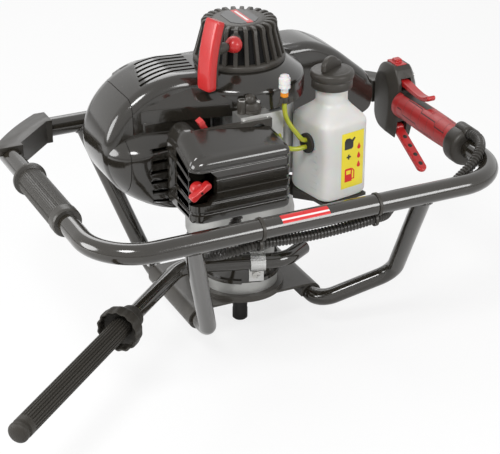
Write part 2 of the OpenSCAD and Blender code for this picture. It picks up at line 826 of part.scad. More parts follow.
// Shielded ball bearings and bushes, all held in the castings
module ball_bearing(inner_d, wall, w) {
  r0 = inner_d / 2 + run_fit;
  r1 = inner_d / 2 + wall;
  rotate_extrude() polygon([[r0, 0], [r0 + 2, 0], [r0 + 2, 0.6], [r1 - 2, 0.6], [r1 - 2, 0], [r1, 0],
                            [r1, w], [r1 - 2, w], [r1 - 2, w - 0.6], [r0 + 2, w - 0.6], [r0 + 2, w],
                              [r0, w]]);
}

drum_bearing_z = [case_top - 2, drum_z - bearing_w - 4];
crank_bearing_z = [cylinder_z - rod_t / 2 - web_t - bearing_w - 3, cylinder_z + rod_t / 2 + web_t + 3];

module bearings() {
  color(bright_steel) {
    translate([0, 0, output_bearing_z]) ball_bearing(seat_d, bearing_wall, bearing_w);
    for (z = drum_bearing_z) translate([0, 0, z]) ball_bearing(drum_shaft_d, bearing_wall, bearing_w);
    for (z = crank_bearing_z) translate([0, 0, z]) ball_bearing(crank_d, bearing_wall, bearing_w);
    for (z = [case_z, case_top - case_roof]) translate([0, lay_y, z])
      ring(drum_shaft_d / 2 + bush_wall, drum_shaft_d / 2 + run_fit, case_roof - 1);
  }
}

// Layshaft: the large wheel takes the drive pinion, the small pinion turns the output wheel
module layshaft() {
  color(bright_steel) translate([0, lay_y, 0]) union() {
    translate([0, 0, output_gear_z - 0.5]) gear(pinion_n, wheel_t + 1);
    translate([0, 0, input_gear_z]) rotate(180 / wheel_n) gear(wheel_n, wheel_t - 1);
    translate([0, 0, case_z + 0.5]) cylinder(d = drum_shaft_d, h = case_top - case_z - 2);
  }
}

// Clutch drum on its long pinion shaft
module clutch_drum() {
  color(bright_steel) difference() {
    union() {
      translate([0, 0, shaft_top - pilot_len]) cylinder(d = pilot_d, h = pilot_len + over);
      translate([0, 0, input_gear_z + 0.2]) gear(pinion_n, wheel_t);
      translate([0, 0, input_gear_z + 0.2]) cylinder(d = drum_shaft_d, h = drum_z - input_gear_z);
      translate([0, 0, drum_z]) cylinder(r = drum_r, h = drum_h);
    }
    translate([0, 0, drum_z + drum_roof]) cylinder(r = drum_r - 3, h = drum_h);
  }
}

// Two clutch shoes on the crank's hub
crank_low = drum_z + drum_roof + 4;
hub_r = crank_d / 2 + 3;
shoe_h = 18;
module clutch_shoes() {
  shoe_r = drum_r - 3 - 1;
  color("#6f6a62") translate([0, 0, crank_low]) for (a = [0, 180]) rotate(a)
    linear_extrude(shoe_h) difference() {
      circle(shoe_r);
      circle(hub_r + slip);
      translate([-2 * shoe_r, -3]) square([2 * shoe_r, 6]);
      translate([-2 * shoe_r, -2 * shoe_r]) square([4 * shoe_r, 2 * shoe_r + 3]);
    }
}

// Cast housing between the gear case and the crankcase, flared over the clutch
housing_pad_top = support_z + clamp_half + 2;
function clutch_skin(grow) =
  [[case_r - 4 + grow, case_top], [case_r - 4 + grow, case_top + 18], [70 + grow, case_top + 40],
   [70 + grow, case_top + 66], [crankcase_r + grow, crankcase_z - 4], [crankcase_r + grow, crankcase_z]];

module clutch_housing() {
  room = drum_r + 3;
  boss = drum_shaft_d / 2 + bearing_wall + slip;
  color(raw_alloy) difference() {
    union() {
      rotate_extrude() polygon(concat([[drum_shaft_d / 2 + bearing_wall + 5, case_top]], clutch_skin(0),
                                      [[drum_shaft_d, crankcase_z]]));
      intersection() {
        clamp_pad(case_top, housing_pad_top);
        translate([0, 0, case_top]) cylinder(r = 90, h = 60);
      }
    }
    translate([0, 0, case_top - over])
      cylinder(r = drum_shaft_d / 2 + bearing_wall + 4.5, h = bearing_w + 2 + over);
    translate([0, 0, case_top]) cylinder(d = drum_shaft_d + 4 * clear, h = 90);
    translate([0, 0, drum_bearing_z[1]]) cylinder(r = boss, h = 40);
    translate([0, 0, drum_z - 3]) cylinder(r = room, h = crankcase_z);
    clamp_screw_holes();
    clamp_frame() translate([-clamp_w, -40, -60]) cube([2 * clamp_w, 40 + clamp_pad_y + slip, 120]);
  }
}

// Crankcase with four bolt posts and the cylinder's seat on its left
post_r = 9;
post_at = crankcase_r + 4;
seat_x = crankcase_r - 6;
module crankcase() {
  color(raw_alloy) difference() {
    union() {
      translate([0, 0, crankcase_z]) cylinder(r = crankcase_r, h = crankcase_top - crankcase_z);
      for (a = [-52, 52, 128, 232]) rotate(a) translate([post_at, 0, crankcase_z + 20])
        cylinder(r = post_r, h = crankcase_top - crankcase_z - 20);
      for (a = [-26, 0, 26]) rotate(a) translate([0, -2, crankcase_z]) cube([post_at + 4, 4, 70]);
      translate([-seat_x, -fin_w / 2 + 6, cylinder_z - fin_w / 2 + 6]) cube([seat_x, fin_w - 12, fin_w - 12]);
    }
    translate([0, 0, cylinder_z - rod_t / 2 - web_t - 2]) cylinder(r = crank_room, h = rod_t + 2 * web_t + 4);
    translate([-100, -fin_w, crankcase_z - over]) cube([100 - seat_x, 2 * fin_w, 200]);
    translate([-100, 0, cylinder_z]) rotate([0, 90, 0]) cylinder(d = bore_d + 3, h = 100);
    translate([0, 0, crankcase_z - over]) cylinder(d = crank_d + 6 * clear, h = 200);
    translate([0, 0, crankcase_z - over]) cylinder(r = drum_r + 3, h = 8);
    for (z = crank_bearing_z) translate([0, 0, z - slip])
      cylinder(r = crank_d / 2 + bearing_wall + slip, h = bearing_w + 2 * slip);
  }
}

module crankshaft() {
  low = cylinder_z - rod_t / 2;
  high = cylinder_z + rod_t / 2;
  color(bright_steel) union() {
    translate([0, 0, crank_low]) cylinder(d = crank_d, h = low - crank_low);
    translate([0, 0, crank_low]) cylinder(r = hub_r, h = shoe_h);
    translate([0, 0, low - web_t]) cylinder(r = web_r, h = web_t - 0.5);
    translate([stroke / 2, 0, low - web_t]) cylinder(r = pin_r, h = rod_t + 2 * web_t);
    translate([0, 0, high + 0.5]) cylinder(r = web_r, h = web_t - 0.5);
    translate([0, 0, high + web_t - over])
      cylinder(d = crank_d, h = flywheel_z + flywheel_h + 9 - high - web_t + over);
  }
}

// The rod's big end is opened to the crank pin's orbit, so the crank turns freely
wrist_x = -76;
module connecting_rod() {
  eye_in = stroke / 2 + pin_r + 0.8;
  eye_out = web_r - 0.5;
  small_r = 8;
  t = rod_t - 1;
  color(bright_steel) translate([0, 0, cylinder_z - t / 2]) linear_extrude(t) difference() {
    union() {
      circle(eye_out);
      translate([wrist_x, -5]) square([-wrist_x - eye_in - 1, 10]);
      translate([wrist_x, 0]) circle(small_r);
    }
    circle(eye_in);
    translate([wrist_x, 0]) circle(5 + run_fit);
  }
}

module piston() {
  r = bore_d / 2 - slip;
  top = wrist_x - 20;
  skirt = 34;
  color(raw_alloy) difference() {
    union() {
      difference() {
        translate([top, 0, cylinder_z]) rotate([0, 90, 0]) cylinder(r = r, h = skirt);
        translate([top + 6, 0, cylinder_z]) rotate([0, 90, 0]) cylinder(r = r - 4, h = skirt);
      }
      translate([wrist_x, 0, cylinder_z - r + 2]) cylinder(r = 5, h = 2 * r - 4);
    }
    for (x = [top + 2, top + 4]) translate([x, 0, cylinder_z]) rotate([0, 90, 0]) difference() {
      cylinder(r = r + over, h = 1);
      translate([0, 0, -over]) cylinder(r = r - 1, h = 3);
    }
  }
}

head_x = -136;
plug_d = 14;
module cylinder_fins() {
  pitch = (-head_x - seat_x - 12) / fin_count;
  for (i = [0:fin_count - 1])
    translate([head_x + 6 + i * pitch, -fin_w / 2, cylinder_z - fin_w / 2]) cube([2.6, fin_w, fin_w]);
}

module cylinder_block() {
  inner = bore_d / 2;
  color(raw_alloy) difference() {
    union() {
      translate([head_x, 0, cylinder_z]) rotate([0, 90, 0])
        cylinder(r = inner + 6, h = -head_x - seat_x - 0.1);
      translate([-seat_x - 5, -fin_w / 2 + 6, cylinder_z - fin_w / 2 + 6])
        cube([4.9, fin_w - 12, fin_w - 12]);
      cylinder_fins();
      translate([port_x, 0, cylinder_z]) rotate([-90, 0, 0]) cylinder(r = pipe_d / 2 + 4, h = fin_w / 2);
    }
    translate([head_x + 12, 0, cylinder_z]) rotate([0, 90, 0]) cylinder(r = inner, h = 200);
    translate([head_x - over, 0, cylinder_z]) rotate([0, 90, 0]) cylinder(d = plug_d + 2 * slip, h = 20);
    translate([port_x, 0, cylinder_z]) rotate([-90, 0, 0]) cylinder(d = pipe_d - 4, h = fin_w);
  }
}

// Spark plug with its hexagon, insulator and boot
module spark_plug() {
  color("#e8e4dc") translate([head_x, 0, cylinder_z]) rotate([0, -90, 0]) union() {
    translate([0, 0, -11]) cylinder(d = plug_d, h = 11 + over);
    cylinder(d = 22, h = 8, $fn = 6);
    translate([0, 0, 8]) cylinder(d = 13, h = 6);
    translate([0, 0, 14]) cylinder(d1 = 11, d2 = 8, h = 16);
    translate([0, 0, 30]) cylinder(d = 20, h = 16);
  }
}

// Coil on two legs beside the flywheel magnets
module ignition_coil() {
  x0 = flywheel_r + 2;
  color(black_plastic) translate([0, 0, crankcase_top]) rotate(150) union() {
    translate([x0, -16, 5]) cube([6, 32, 10]);
    translate([x0 + 5, -12, 3]) cube([fan_r - cowl_wall - x0 - 8.5, 24, 16]);
    for (y = [-15, 9]) translate([x0, y, 3]) cube([5, 6, 6]);
  }
}

module flywheel() {
  vanes = 16;
  color(raw_alloy) translate([0, 0, flywheel_z]) difference() {
    union() {
      cylinder(r = flywheel_r, h = 7);
      cylinder(r = crank_d / 2 + 8, h = flywheel_h);
      for (i = [0:vanes - 1]) rotate(360 * i / vanes)
        translate([flywheel_r - 20, -1.2, 6]) cube([18, 2.4, flywheel_h - 6]);
    }
    translate([0, 0, -over]) cylinder(d = crank_d, h = flywheel_h + 2 * over);
  }
}

// Round fan housing under the starter
fan_shoulder = fan_top - 14;
module fan_housing() {
  mouth = starter_r - 8;
  color(black_plastic) difference() {
    rotate_extrude() polygon([
      [crankcase_r - 4, crankcase_top], [fan_r, crankcase_top], [fan_r, fan_shoulder],
      [fan_r - 3, fan_shoulder + 3], [starter_r + 5, fan_top], [mouth, fan_top], [mouth, fan_top - cowl_wall],
      [starter_r + 4, fan_top - cowl_wall], [fan_r - cowl_wall - 2, fan_shoulder],
      [fan_r - cowl_wall, fan_shoulder - 3], [fan_r - cowl_wall, crankcase_top + 3],
        [crankcase_r - 4, crankcase_top + 3]]);
    translate([-fan_r - over, -22, crankcase_top + 3.5]) cube([30, 44, 18]);
  }
}

// Cylinder cowl: an arched cover over the fins with a lower bulge in front
cowl_rear = cowl_w - 46;
cowl_front = -46;
cap_seam = -152;
cowl_low = 205;
bulge_front = -72;
function cowl_outline(inset) =
  let (x0 = -cowl_reach + inset, z0 = cowl_low + inset, z1 = 372 - inset, mid = 283, c = -96)
  concat([[-40, z0], [c, z0]],
         [for (i = [1:9]) let (a = 270 - 10 * i) [c + (c - x0) * cos(a), mid + (mid - z0) * sin(a)]],
         [for (i = [0:9]) let (a = 180 - 10 * i) [c + (c - x0) * cos(a), mid + (z1 - mid) * sin(a)]],
         [[-40, z1 - 4]]);

module cowl_plan(inset) {
  r = 36;
  x0 = -cowl_reach + inset;
  y0 = cowl_front + inset;
  y1 = cowl_rear - inset;
  translate([x0 + r, y0]) square([-40 - x0 - r, y1 - y0]);
  translate([x0, y0 + 10]) square([-40 - x0, y1 - y0 - 10 - r]);
  translate([x0 + r, y1 - r]) circle(r);
  polygon([[x0, y0 + 10], [x0 + 10, y0], [x0 + r, y0], [x0 + r, y0 + 20]]);
}

module cowl_body(inset) {
  intersection() {
    along_y(-100, 100) polygon(cowl_outline(inset));
    linear_extrude(500) cowl_plan(inset);
  }
}

module bulge_body(inset) {
  along_y(bulge_front + inset, 0) intersection() {
    translate([-118, 262]) circle(52 - inset);
    translate([-172, cowl_low + inset]) square([92 - inset, 110]);
  }
}

// Flare from the cowl's front and rear walls out to the fan housing's shoulder
flare_low = crankcase_top - 3;
flare_root = -150;
module flare_body(inset) {
  half = sqrt(fan_r * fan_r - 40 * 40) - inset;
  translate([0, 0, flare_low + inset]) linear_extrude(fan_shoulder + 2 - flare_low - 2 * inset)
    polygon([[flare_root, cowl_front + inset], [-40, -half], [-40, half], [flare_root, cowl_rear - inset]]);
}

module cowl_shell() {
  difference() {
    union() {
      cowl_body(0);
      bulge_body(0);
      flare_body(0);
    }
    cowl_body(cowl_wall);
    bulge_body(cowl_wall);
    flare_body(cowl_wall);
    translate([-60, -100, cowl_low + cowl_wall]) cube([40, 300, flare_low - cowl_low - cowl_wall]);
    translate([port_x, 20, cylinder_z]) rotate([-90, 0, 0]) cylinder(d = pipe_d + 8, h = 80);
  }
}

// Fan housing's and coil's room inside the right edge of the cowl
module fan_room() {
  rotate_extrude()
    polygon([[0, flare_low - over], [fan_r + slip, flare_low - over], [fan_r + slip, fan_shoulder],
                            [fan_r - 3 + slip, fan_shoulder + 3 + slip], [starter_r + 5, fan_top + slip],
                            [starter_r + 5, 420], [0, 420]]);
  translate([0, 0, 150]) cylinder(r = crankcase_r + post_r + 6, h = flare_low - 150);
}

module louvres() {
  slots = 6;
  for (i = [0:slots - 1]) translate([-146 + 3 * i, -24 + 9 * i, 340]) cube([46, 3.6, 60]);
  for (i = [0:5]) translate([-168, bulge_front - 10, 226 + 12 * i]) cube([22, 34, 4.5]);
}

module engine_cowl() {
  color(black_plastic) difference() {
    cowl_shell();
    translate([-300, -150, 0]) cube([300 + cap_seam, 300, 500]);
    fan_room();
    louvres();
  }
}

module cowl_end_cap() {
  color(black_plastic) difference() {
    cowl_body(0);
    cowl_body(cowl_wall);
    translate([cap_seam - slip, -150, 0]) cube([300, 300, 500]);
  }
}

// Exhaust: a pipe from the cylinder's rear port to a can on the right, under its guard
port_x = -92;
pipe_d = 22;
pipe_y = 88;
can = [96, 58, 60];
can_at = [84, 52, 250];
module muffler() {
  color("#55514c") union() {
    bent_tube([[port_x, fin_w / 2 + slip, cylinder_z], [port_x, pipe_y, cylinder_z],
               [can_at[0] + over, pipe_y, cylinder_z]], [26], pipe_d, pipe_d - 4);
    translate([can_at[0] + can[0] / 2, can_at[1] + can[1] / 2, can_at[2]])
      linear_extrude(can[2]) rounded_square(can[0], can[1], 12);
    translate([can_at[0] + 66, can_at[1] + can[1] / 2, can_at[2] - 6]) cylinder(d = 16, h = 8);
    for (x = [10, 74]) translate([can_at[0] + x, can_at[1] + can[1] - 4, can_at[2] + can[2] / 2])
      rotate([-90, 0, 0]) cylinder(d = 8, h = guard_rear - can_at[1] - can[1] + 4 - cowl_wall);
  }
}

// Guard over the can: an outline seen from the front, its upper edges sloped off to the rear and the front
guard_front = 44;
guard_rear = 116;
guard_left = 84;
guard_slope = 14;
guard_fall = 12;
guard_roof = [[74, 350], [128, 350], [162, 334], [214, 290]];
guard_side = [[220, 266], [215, 244], [203, 236], [74, 242]];
function guard_outline(inset) =
  [for (p = concat(guard_roof, guard_side)) [p[0] - (p[0] > 180 ? inset : 0),
    p[1] + (p[1] > 260 ? -1.2 : 1) * inset]];

// Wedge above the edge from p to q that leans down by guard_fall towards the rear, or the front
module guard_wedge(p, q, inset, rear) {
  lean = atan2(guard_fall, guard_slope);
  y = rear ? guard_rear - guard_slope : guard_front + guard_slope;
  translate([p[0], y, p[1]]) rotate([0, -atan2(q[1] - p[1], q[0] - p[0]), 0])
    rotate([rear ? -lean : lean, 0, 0])
    translate([-60, rear ? -30 : -70, -inset]) cube([norm(q - p) + 120, 100, 60]);
}

module guard_form(inset) {
  difference() {
    along_y(guard_front + inset, guard_rear - inset) polygon(guard_outline(inset));
    for (i = [0:len(guard_roof) - 2], rear = [true, false])
      guard_wedge(guard_roof[i], guard_roof[i + 1], inset, rear);
  }
}

module muffler_guard() {
  slots = 6;
  color(black_plastic) difference() {
    guard_form(0);
    guard_form(cowl_wall);
    translate([0, 0, 200]) cube([guard_left, 300, 300]);
    translate([can_at[0] + 66, can_at[1] + can[1] / 2, 200]) cylinder(d = 22, h = 60);
    for (i = [0:slots - 1]) translate([110 + 14 * i, guard_rear - 6, can_at[2] + 6]) cube([6, 12, 44]);
  }
}

// Ribbed starter housing with a closed top and a post for the pulley
starter_top = starter_z + starter_h;
pulley_z = starter_z + 14;
pulley_h = 13;
pulley_r = starter_top_r - 8;
post_d = 12;
module starter_housing() {
  wall = 3;
  rib_out = 3.5;
  dome = 8;
  color(black_plastic) difference() {
    union() {
      rotate_extrude()
        polygon([[starter_r - 7, starter_z], [starter_r + 4, starter_z], [starter_r + 4, starter_z + 7],
        [starter_r, starter_z + 9], [starter_top_r, starter_top - dome], [starter_top_r - 8, starter_top - 3],
        [starter_top_r - 14, starter_top], [0, starter_top], [0, starter_top - wall],
        [starter_top_r - 12, starter_top - wall - 2], [starter_top_r - wall, starter_top - dome],
        [starter_r - 7, starter_z + 10]]);
      for (i = [0:starter_ribs - 1]) rotate(360 * i / starter_ribs)
        translate([0, 2, 0]) rotate([90, 0, 0]) linear_extrude(4)
          polygon([[starter_r - 3, starter_z + 6], [starter_r + rib_out, starter_z + 6],
                   [starter_top_r + rib_out - 1, starter_top - dome + 2],
                     [starter_top_r + 1, starter_top - 3],
                   [starter_top_r - 7, starter_top - dome + 2]]);
      translate([0, 0, pulley_z - 3]) cylinder(d = post_d, h = starter_top - pulley_z + 1);
      translate([0, 0, pulley_z - 4]) cylinder(d = post_d + 8, h = 3);
    }
    point_along([0, 0, guide_ball[2]], guide_ball) cylinder(d = rope_d + 6 + 2 * slip, h = 200);
  }
}

rope_d = 4.5;
module starter_pulley() {
  groove = 5;
  r = pulley_r;
  bore = post_d / 2 + run_fit;
  color("#3a3a3a") translate([0, 0, pulley_z]) rotate_extrude()
    polygon([[bore, 0], [r, 0], [r, 3], [r - groove, 4], [r - groove, pulley_h - 4], [r, pulley_h - 3],
             [r, pulley_h], [bore, pulley_h]]);
}

// Rope guide: a neck through the housing wall with a red ball nose
guide_ball = [-32, -53, starter_z + 39];
ball_r = 9.5;
module rope_guide() {
  along = [guide_ball[0], guide_ball[1], 0];
  inside = unit(along) * (starter_top_r - 8);
  foot = [inside[0], inside[1], guide_ball[2]];
  color(signal_red) difference() {
    union() {
      translate(guide_ball) sphere(ball_r);
      point_along(foot, guide_ball) cylinder(d = rope_d + 6, h = norm(guide_ball - foot));
    }
    point_along(guide_ball, guide_ball + pull_axis) cylinder(d = rope_d + 2 * clear, h = 2 * ball_r);
  }
}

// Pull handle: a bowed bar beside the starter, hung on the rope
pull_axis = unit([-38, -10, 0]);
pull_at = guide_ball + pull_axis * 36;
pull_lean = -7;
rope_from = guide_ball + pull_axis;
module starter_rope() {
  color("#141414") point_along(rope_from, pull_at) cylinder(d = rope_d, h = norm(pull_at - rope_from) - 17.5);
}

module starter_handle() {
  w = pull_w;
  half = pull_h / 2;
  r = 105;
  turn = atan2(-pull_axis[1], -pull_axis[0]);
  color(signal_red) translate(pull_at) rotate(turn) rotate([0, -pull_lean, 0]) union() {
    intersection() {
      translate([r - 8, w / 2, -4]) rotate([90, 0, 0]) difference() {
        cylinder(r = r, h = w, $fn = 96);
        translate([0, 0, -over]) cylinder(r = r - 18, h = w + 2 * over, $fn = 96);
      }
      translate([-30, -w, -half]) cube([60, 2 * w, pull_h]);
    }
    rotate([0, pull_lean, 0]) rotate([0, 90, 0]) cylinder(d = 13, h = 17);
  }
}

// Carburettor block with its bowl, its cable arm cover and its studs
module carburetor() {
  stud_y = carb_at[1] + carb[1] / 2;
  color(raw_alloy) difference() {
    union() {
      translate(carb_at) cube(carb);
      translate([carb_at[0] + 20, stud_y, carb_at[2] + carb[2]]) cylinder(d = 20, h = 12);
      translate([carb_at[0] + 8, stud_y + 2, carb_at[2] + carb[2]]) cylinder(d = 10, h = 17);
      translate([carb_at[0] + 20, carb_at[1] + carb[1] - over, carb_at[2] + 16]) rotate([-90, 0, 0])
        cylinder(d = 24, h = -carb_at[1] - carb[1] - 42);
      translate([carb_at[0] + 37, carb_at[1] + carb[1] - 10, carb_at[2] - 8]) cube([26, 20, 36]);
    }
    translate([0, 0, 200]) cylinder(r = crankcase_r + slip, h = 200);
    translate([0, 0, crankcase_top - clear]) cylinder(r = fan_r + clear, h = 100);
    for (a = [-52, 232]) rotate(a) translate([post_at, 0, 200]) cylinder(r = post_r + slip, h = 200);
    translate([conduit_route[len(conduit_route) - 1][0], conduit_route[len(conduit_route) - 1][1],
      carb_at[2] - 12])
      cylinder(d = conduit_bore, h = 18);
  }
}

// Air filter: back plate, foam element, ribbed cover, wing knob and choke lever
filter_x0 = -130;
filter_low = 229;
base_t = 6;
filter_rear = carb_at[1] - base_t;
filter_front = filter_rear - filter_depth;
filter_base_rear = carb_at[1] - slip;

module filter_plan(inset, y0, y1) {
  x0 = filter_x0 + inset;
  x1 = filter_x0 + filter_w - inset;
  r = 14;
  translate([x0 + r, y0]) square([x1 - x0 - r, y1 - y0]);
  translate([x0, y0 + r]) square([x1 - x0, y1 - y0 - r]);
  translate([x0 + r, y0 + r]) circle(r);
}

function filter_outline(inset) =
  let (y0 = filter_front + inset, z0 = filter_low + inset, z1 = filter_low + filter_h - inset,
    y1 = filter_rear)
  [[y1, z0], [y0 + 6, z0], [y0, z0 + 6], [y0, z1 - 8], [y0 + 8, z1], [y1, z1 + 18]];

// Left end of the cover, which reaches back past the base plate to the cowl's bulge
wing_right = filter_x0 + 31;
wing_rear = bulge_front - 3;
module wing_body(inset, y0, y1) {
  x0 = filter_x0 + inset;
  z0 = filter_low + inset;
  z1 = filter_low + filter_h + 18 - inset;
  r = 18 - inset;
  along_y(y0, y1) polygon(concat([[wing_right + inset, z1], [wing_right + inset, z0], [x0, z0]],
    [for (i = [0:6]) [x0 + r - r * cos(15 * i), z1 - r + r * sin(15 * i)]]));
}

module filter_base() {
  top = filter_low + filter_h + 15;
  left = filter_x0 + 3;
  right = filter_x0 + filter_w - 2;
  color(black_plastic) difference() {
    union() {
      along_y(filter_rear + slip, filter_base_rear)
        polygon([[left, filter_low + 3], [right, filter_low + 3], [right, top], [left + 16, top],
                 [left, top - 16]]);
      translate([knob_at[0], filter_rear + over, knob_at[2]]) rotate([90, 0, 0])
        cylinder(r = 6, h = filter_depth - 22);
    }
    translate([knob_at[0], filter_front, knob_at[2]]) rotate([-90, 0, 0])
      cylinder(r = knob_stud / 2 + run_fit, h = pocket_depth + stud_len + 3);
    translate([choke_at[0], choke_at[1] - 7, choke_at[2]]) rotate([-90, 0, 0])
      cylinder(r = choke_pin + run_fit, h = 20);
    translate([carb_at[0] + 20, -200, carb_at[2] + 16]) rotate([-90, 0, 0]) cylinder(d = 20, h = 200);
  }
}

module filter_element() {
  color("#4a4a46") along_y(filter_rear - 24, filter_rear - slip)
    translate([filter_x0 + 44, filter_low + 8]) square([filter_w - 56, filter_h - 16]);
}

pocket_depth = 13;
knob_at = [filter_x0 + 9, filter_front + pocket_depth, filter_low + 44];
knob_room = 17;
knob_stud = 6;
stud_len = 24;
module cover_body() {
  intersection() {
    along_x(filter_x0, filter_x0 + filter_w) polygon(filter_outline(0));
    linear_extrude(500) filter_plan(0, filter_front, filter_rear);
  }
}

// Pocket for the knob in the front left corner, open to the left
module knob_pocket(grow) {
  x1 = filter_x0 + 30 + grow;
  z0 = knob_at[2] - 20 - grow;
  z1 = knob_at[2] + 22 + grow;
  along_y(filter_front - over, knob_at[1] + grow)
    polygon([[filter_x0 - over, z0], [x1 - 8, z0], [x1, z0 + 8], [x1, z1 - 8], [x1 - 8, z1],
             [filter_x0 - over, z1]]);
}

module filter_cover() {
  ribs = 5;
  inner = filter_x0 + filter_w - cowl_wall;
  color(black_plastic) difference() {
    union() {
      difference() {
        union() {
          cover_body();
          wing_body(0, filter_rear - over, wing_rear);
        }
        intersection() {
          along_x(filter_x0, inner) polygon(filter_outline(cowl_wall));
          linear_extrude(500) filter_plan(cowl_wall, filter_front + cowl_wall, filter_rear + over);
        }
        wing_body(cowl_wall, filter_rear - over, wing_rear + over);
        translate([filter_x0 - over, wing_rear - 23, filter_low + 22]) cube([10, 16, 40]);
      }
      intersection() {
        cover_body();
        knob_pocket(cowl_wall);
      }
    }
    for (i = [1:ribs]) translate([filter_x0 - over, filter_front - over,
      filter_low + i * filter_h / (ribs + 1)])
      difference() {
        cube([filter_w + 2 * over, filter_depth - 6, 4]);
        translate([0, 0, -over]) linear_extrude(6) translate([-filter_x0 + over, -filter_front + over])
          filter_plan(1.4, filter_front + 1.4, filter_rear);
      }
    knob_pocket(0);
    translate([knob_at[0], knob_at[1] - over, knob_at[2]]) rotate([-90, 0, 0]) cylinder(d = 10, h = 20);
  }
}

module filter_knob() {
  color(signal_red) translate([knob_at[0], knob_at[1] - clear, knob_at[2]]) rotate([90, 0, 0]) union() {
    cylinder(d = knob_room, h = 9);
    translate([0, 0, -stud_len]) cylinder(d = knob_stud, h = stud_len + over);
    rotate(35) translate([-15, -4, 6]) cube([30, 8, 12]);
  }
}

choke_pin = 2.5;
choke_at = [filter_x0 + 46, filter_base_rear + clear, filter_low + filter_h + 4];
module choke_lever() {
  color(signal_red) translate(choke_at) rotate([-90, 0, 0]) union() {
    cylinder(r = 6, h = 4);
    translate([0, 0, -5]) cylinder(r = choke_pin, h = 6);
    rotate(-32) translate([-3.5, -27, 0]) cube([7, 27, 4]);
    rotate(-32) translate([-3.5, -27, -7]) cube([7, 5, 8]);
  }
}

// Fuel bottle with sloped shoulders, a round neck and a screw cap
bottle_at = [82, -88, 208];
bottle_turn = 10;
shoulder_h = 26;
neck_h = 32;
neck_low = bottle_at[2] + bottle_h + shoulder_h;
bottle_round = 13;

module bottle_body(inset) {
  w = bottle_w - 2 * inset;
  top = neck_low - bottle_at[2] - inset;
  intersection() {
    translate([0, 0, inset]) linear_extrude(top - inset) rounded_square(w, w, bottle_round - inset);
    rotate_extrude() polygon([[0, inset], [bottle_w, inset], [bottle_w * 0.68 - inset, bottle_h],
                              [neck_d / 2 - inset, top], [0, top]]);
  }
}

module fuel_bottle() {
  color("#eceae4") translate(bottle_at) rotate(bottle_turn) difference() {
    union() {
      bottle_body(0);
      translate([0, 0, neck_low - bottle_at[2] - over]) cylinder(d = neck_d, h = neck_h + over);
    }
    bottle_body(bottle_wall);
    translate([0, 0, neck_low - bottle_at[2] - 2 * bottle_wall])
      cylinder(d = neck_d - 2 * bottle_wall, h = neck_h + 3 * bottle_wall);
    translate([-bottle_w, 0, grommet_z - bottle_at[2]]) rotate([0, 90, 0])
      cylinder(d = grommet_d, h = bottle_w);
  }
}

module fuel_cap() {
  r = cap_d / 2;
  neck = neck_d / 2 + clear;
  skirt = neck + 5;
  z0 = neck_low + neck_h - 16;
  z1 = neck_low + neck_h + 0.6;
  color(black_plastic) translate([bottle_at[0], bottle_at[1], 0]) union() {
    rotate_extrude()
      polygon([[neck, z0], [skirt, z0], [skirt, z1 - 5], [r - 1, z1 - 4], [r, z1 - 2], [r, z1 + 2],
                              [r - 3, z1 + 5], [r - 12, z1 + 7], [0, z1 + 7], [0, z1], [neck, z1]]);
    rotate(28) translate([-r + 6, -3.5, z1 + 6]) cube([2 * r - 16, 7, 10]);
    rotate(28) translate([-6, 3.5, z1 + 6]) rotate([90, 0, 0]) intersection() {
      cylinder(r = r - 9, h = 7);
      translate([-30, 0, -over]) cube([60, 40, 20]);
    }
  }
}

// Rubber grommet where both fuel tubes enter the bottle
grommet_z = 280;
bottle_side = [-cos(bottle_turn), -sin(bottle_turn), 0];
grommet_at = [bottle_at[0], bottle_at[1], grommet_z] + bottle_side * bottle_w / 2;
grommet_d = 18;
line_pitch = 4.5;
module tank_grommet() {
  color(rubber_black) translate(grommet_at) rotate(bottle_turn) rotate([0, -90, 0]) difference() {
    union() {
      translate([0, 0, slip]) cylinder(d = grommet_d + 7, h = 4);
      translate([0, 0, -bottle_wall - over]) cylinder(d = grommet_d - 2 * slip, h = bottle_wall + 2 * over);
    }
    for (side = [-1, 1]) translate([side * line_pitch, 0, -10]) cylinder(d = fuel_tube_d + 2 * slip, h = 20);
  }
}

// Fuel tubes: one to the carburettor, one up to the vent filter
vent_at = [14, -96, crankcase_top + 27];
module fuel_lines() {
  bore = fuel_tube_d - 2.5;
  high = grommet_at + [0, 0, line_pitch] - bottle_side * bottle_wall;
  low = grommet_at + [0, 0, -line_pitch] - bottle_side * bottle_wall;
  high_out = high + bottle_side * 12;
  low_out = low + bottle_side * 20;
  feed = carb_at + [carb[0] + 23 + slip, carb[1] - 5, 6];
  color("#c9d21e") {
    bent_tube([high, high_out, [vent_at[0], vent_at[1], high[2] + 30], vent_at], [10, 12], fuel_tube_d, bore);
    bent_tube([low, low_out, [feed[0] + 12, feed[1], feed[2]], feed], [6, 6], fuel_tube_d, bore);
  }
}

module vent_filter() {
  color("#e4e2dc") translate(vent_at + [0, 0, slip]) union() {
    cylinder(d = 9, h = 6);
    translate([0, 0, 5]) cylinder(d = 14, h = 14);
    translate([0, 0, 18]) cylinder(d = 11, h = 4);
  }
}

// Tray under the bottle on an arm from the clutch housing
module tank_bracket() {
  tray = bottle_w + 8;
  z1 = bottle_at[2] - slip;
  t = 4;
  color(black_paint) difference() {
    union() {
      translate([bottle_at[0], bottle_at[1], z1 - t]) rotate(bottle_turn)
        linear_extrude(t) rounded_square(tray, tray, 10);
      translate([bottle_at[0], bottle_at[1], z1 - t]) rotate(bottle_turn) linear_extrude(t + 8) difference() {
        rounded_square(tray, tray, 10);
        rounded_square(tray - 6, tray - 6, 10);
      }
      translate([0, 0, z1 - t - 14]) linear_extrude(t + 14 - 0.01)
        polygon([[30, -40], [50, -20], [98, -70], [78, -90]]);
    }
    rotate_extrude() polygon(concat([[0, case_top]], clutch_skin(slip), [[0, crankcase_z]]));
    translate([0, 0, crankcase_z]) cylinder(r = crankcase_r + 2, h = 100);
    rotate(-52) translate([post_at, 0, 100]) cylinder(r = post_r + 1, h = 300);
  }
}

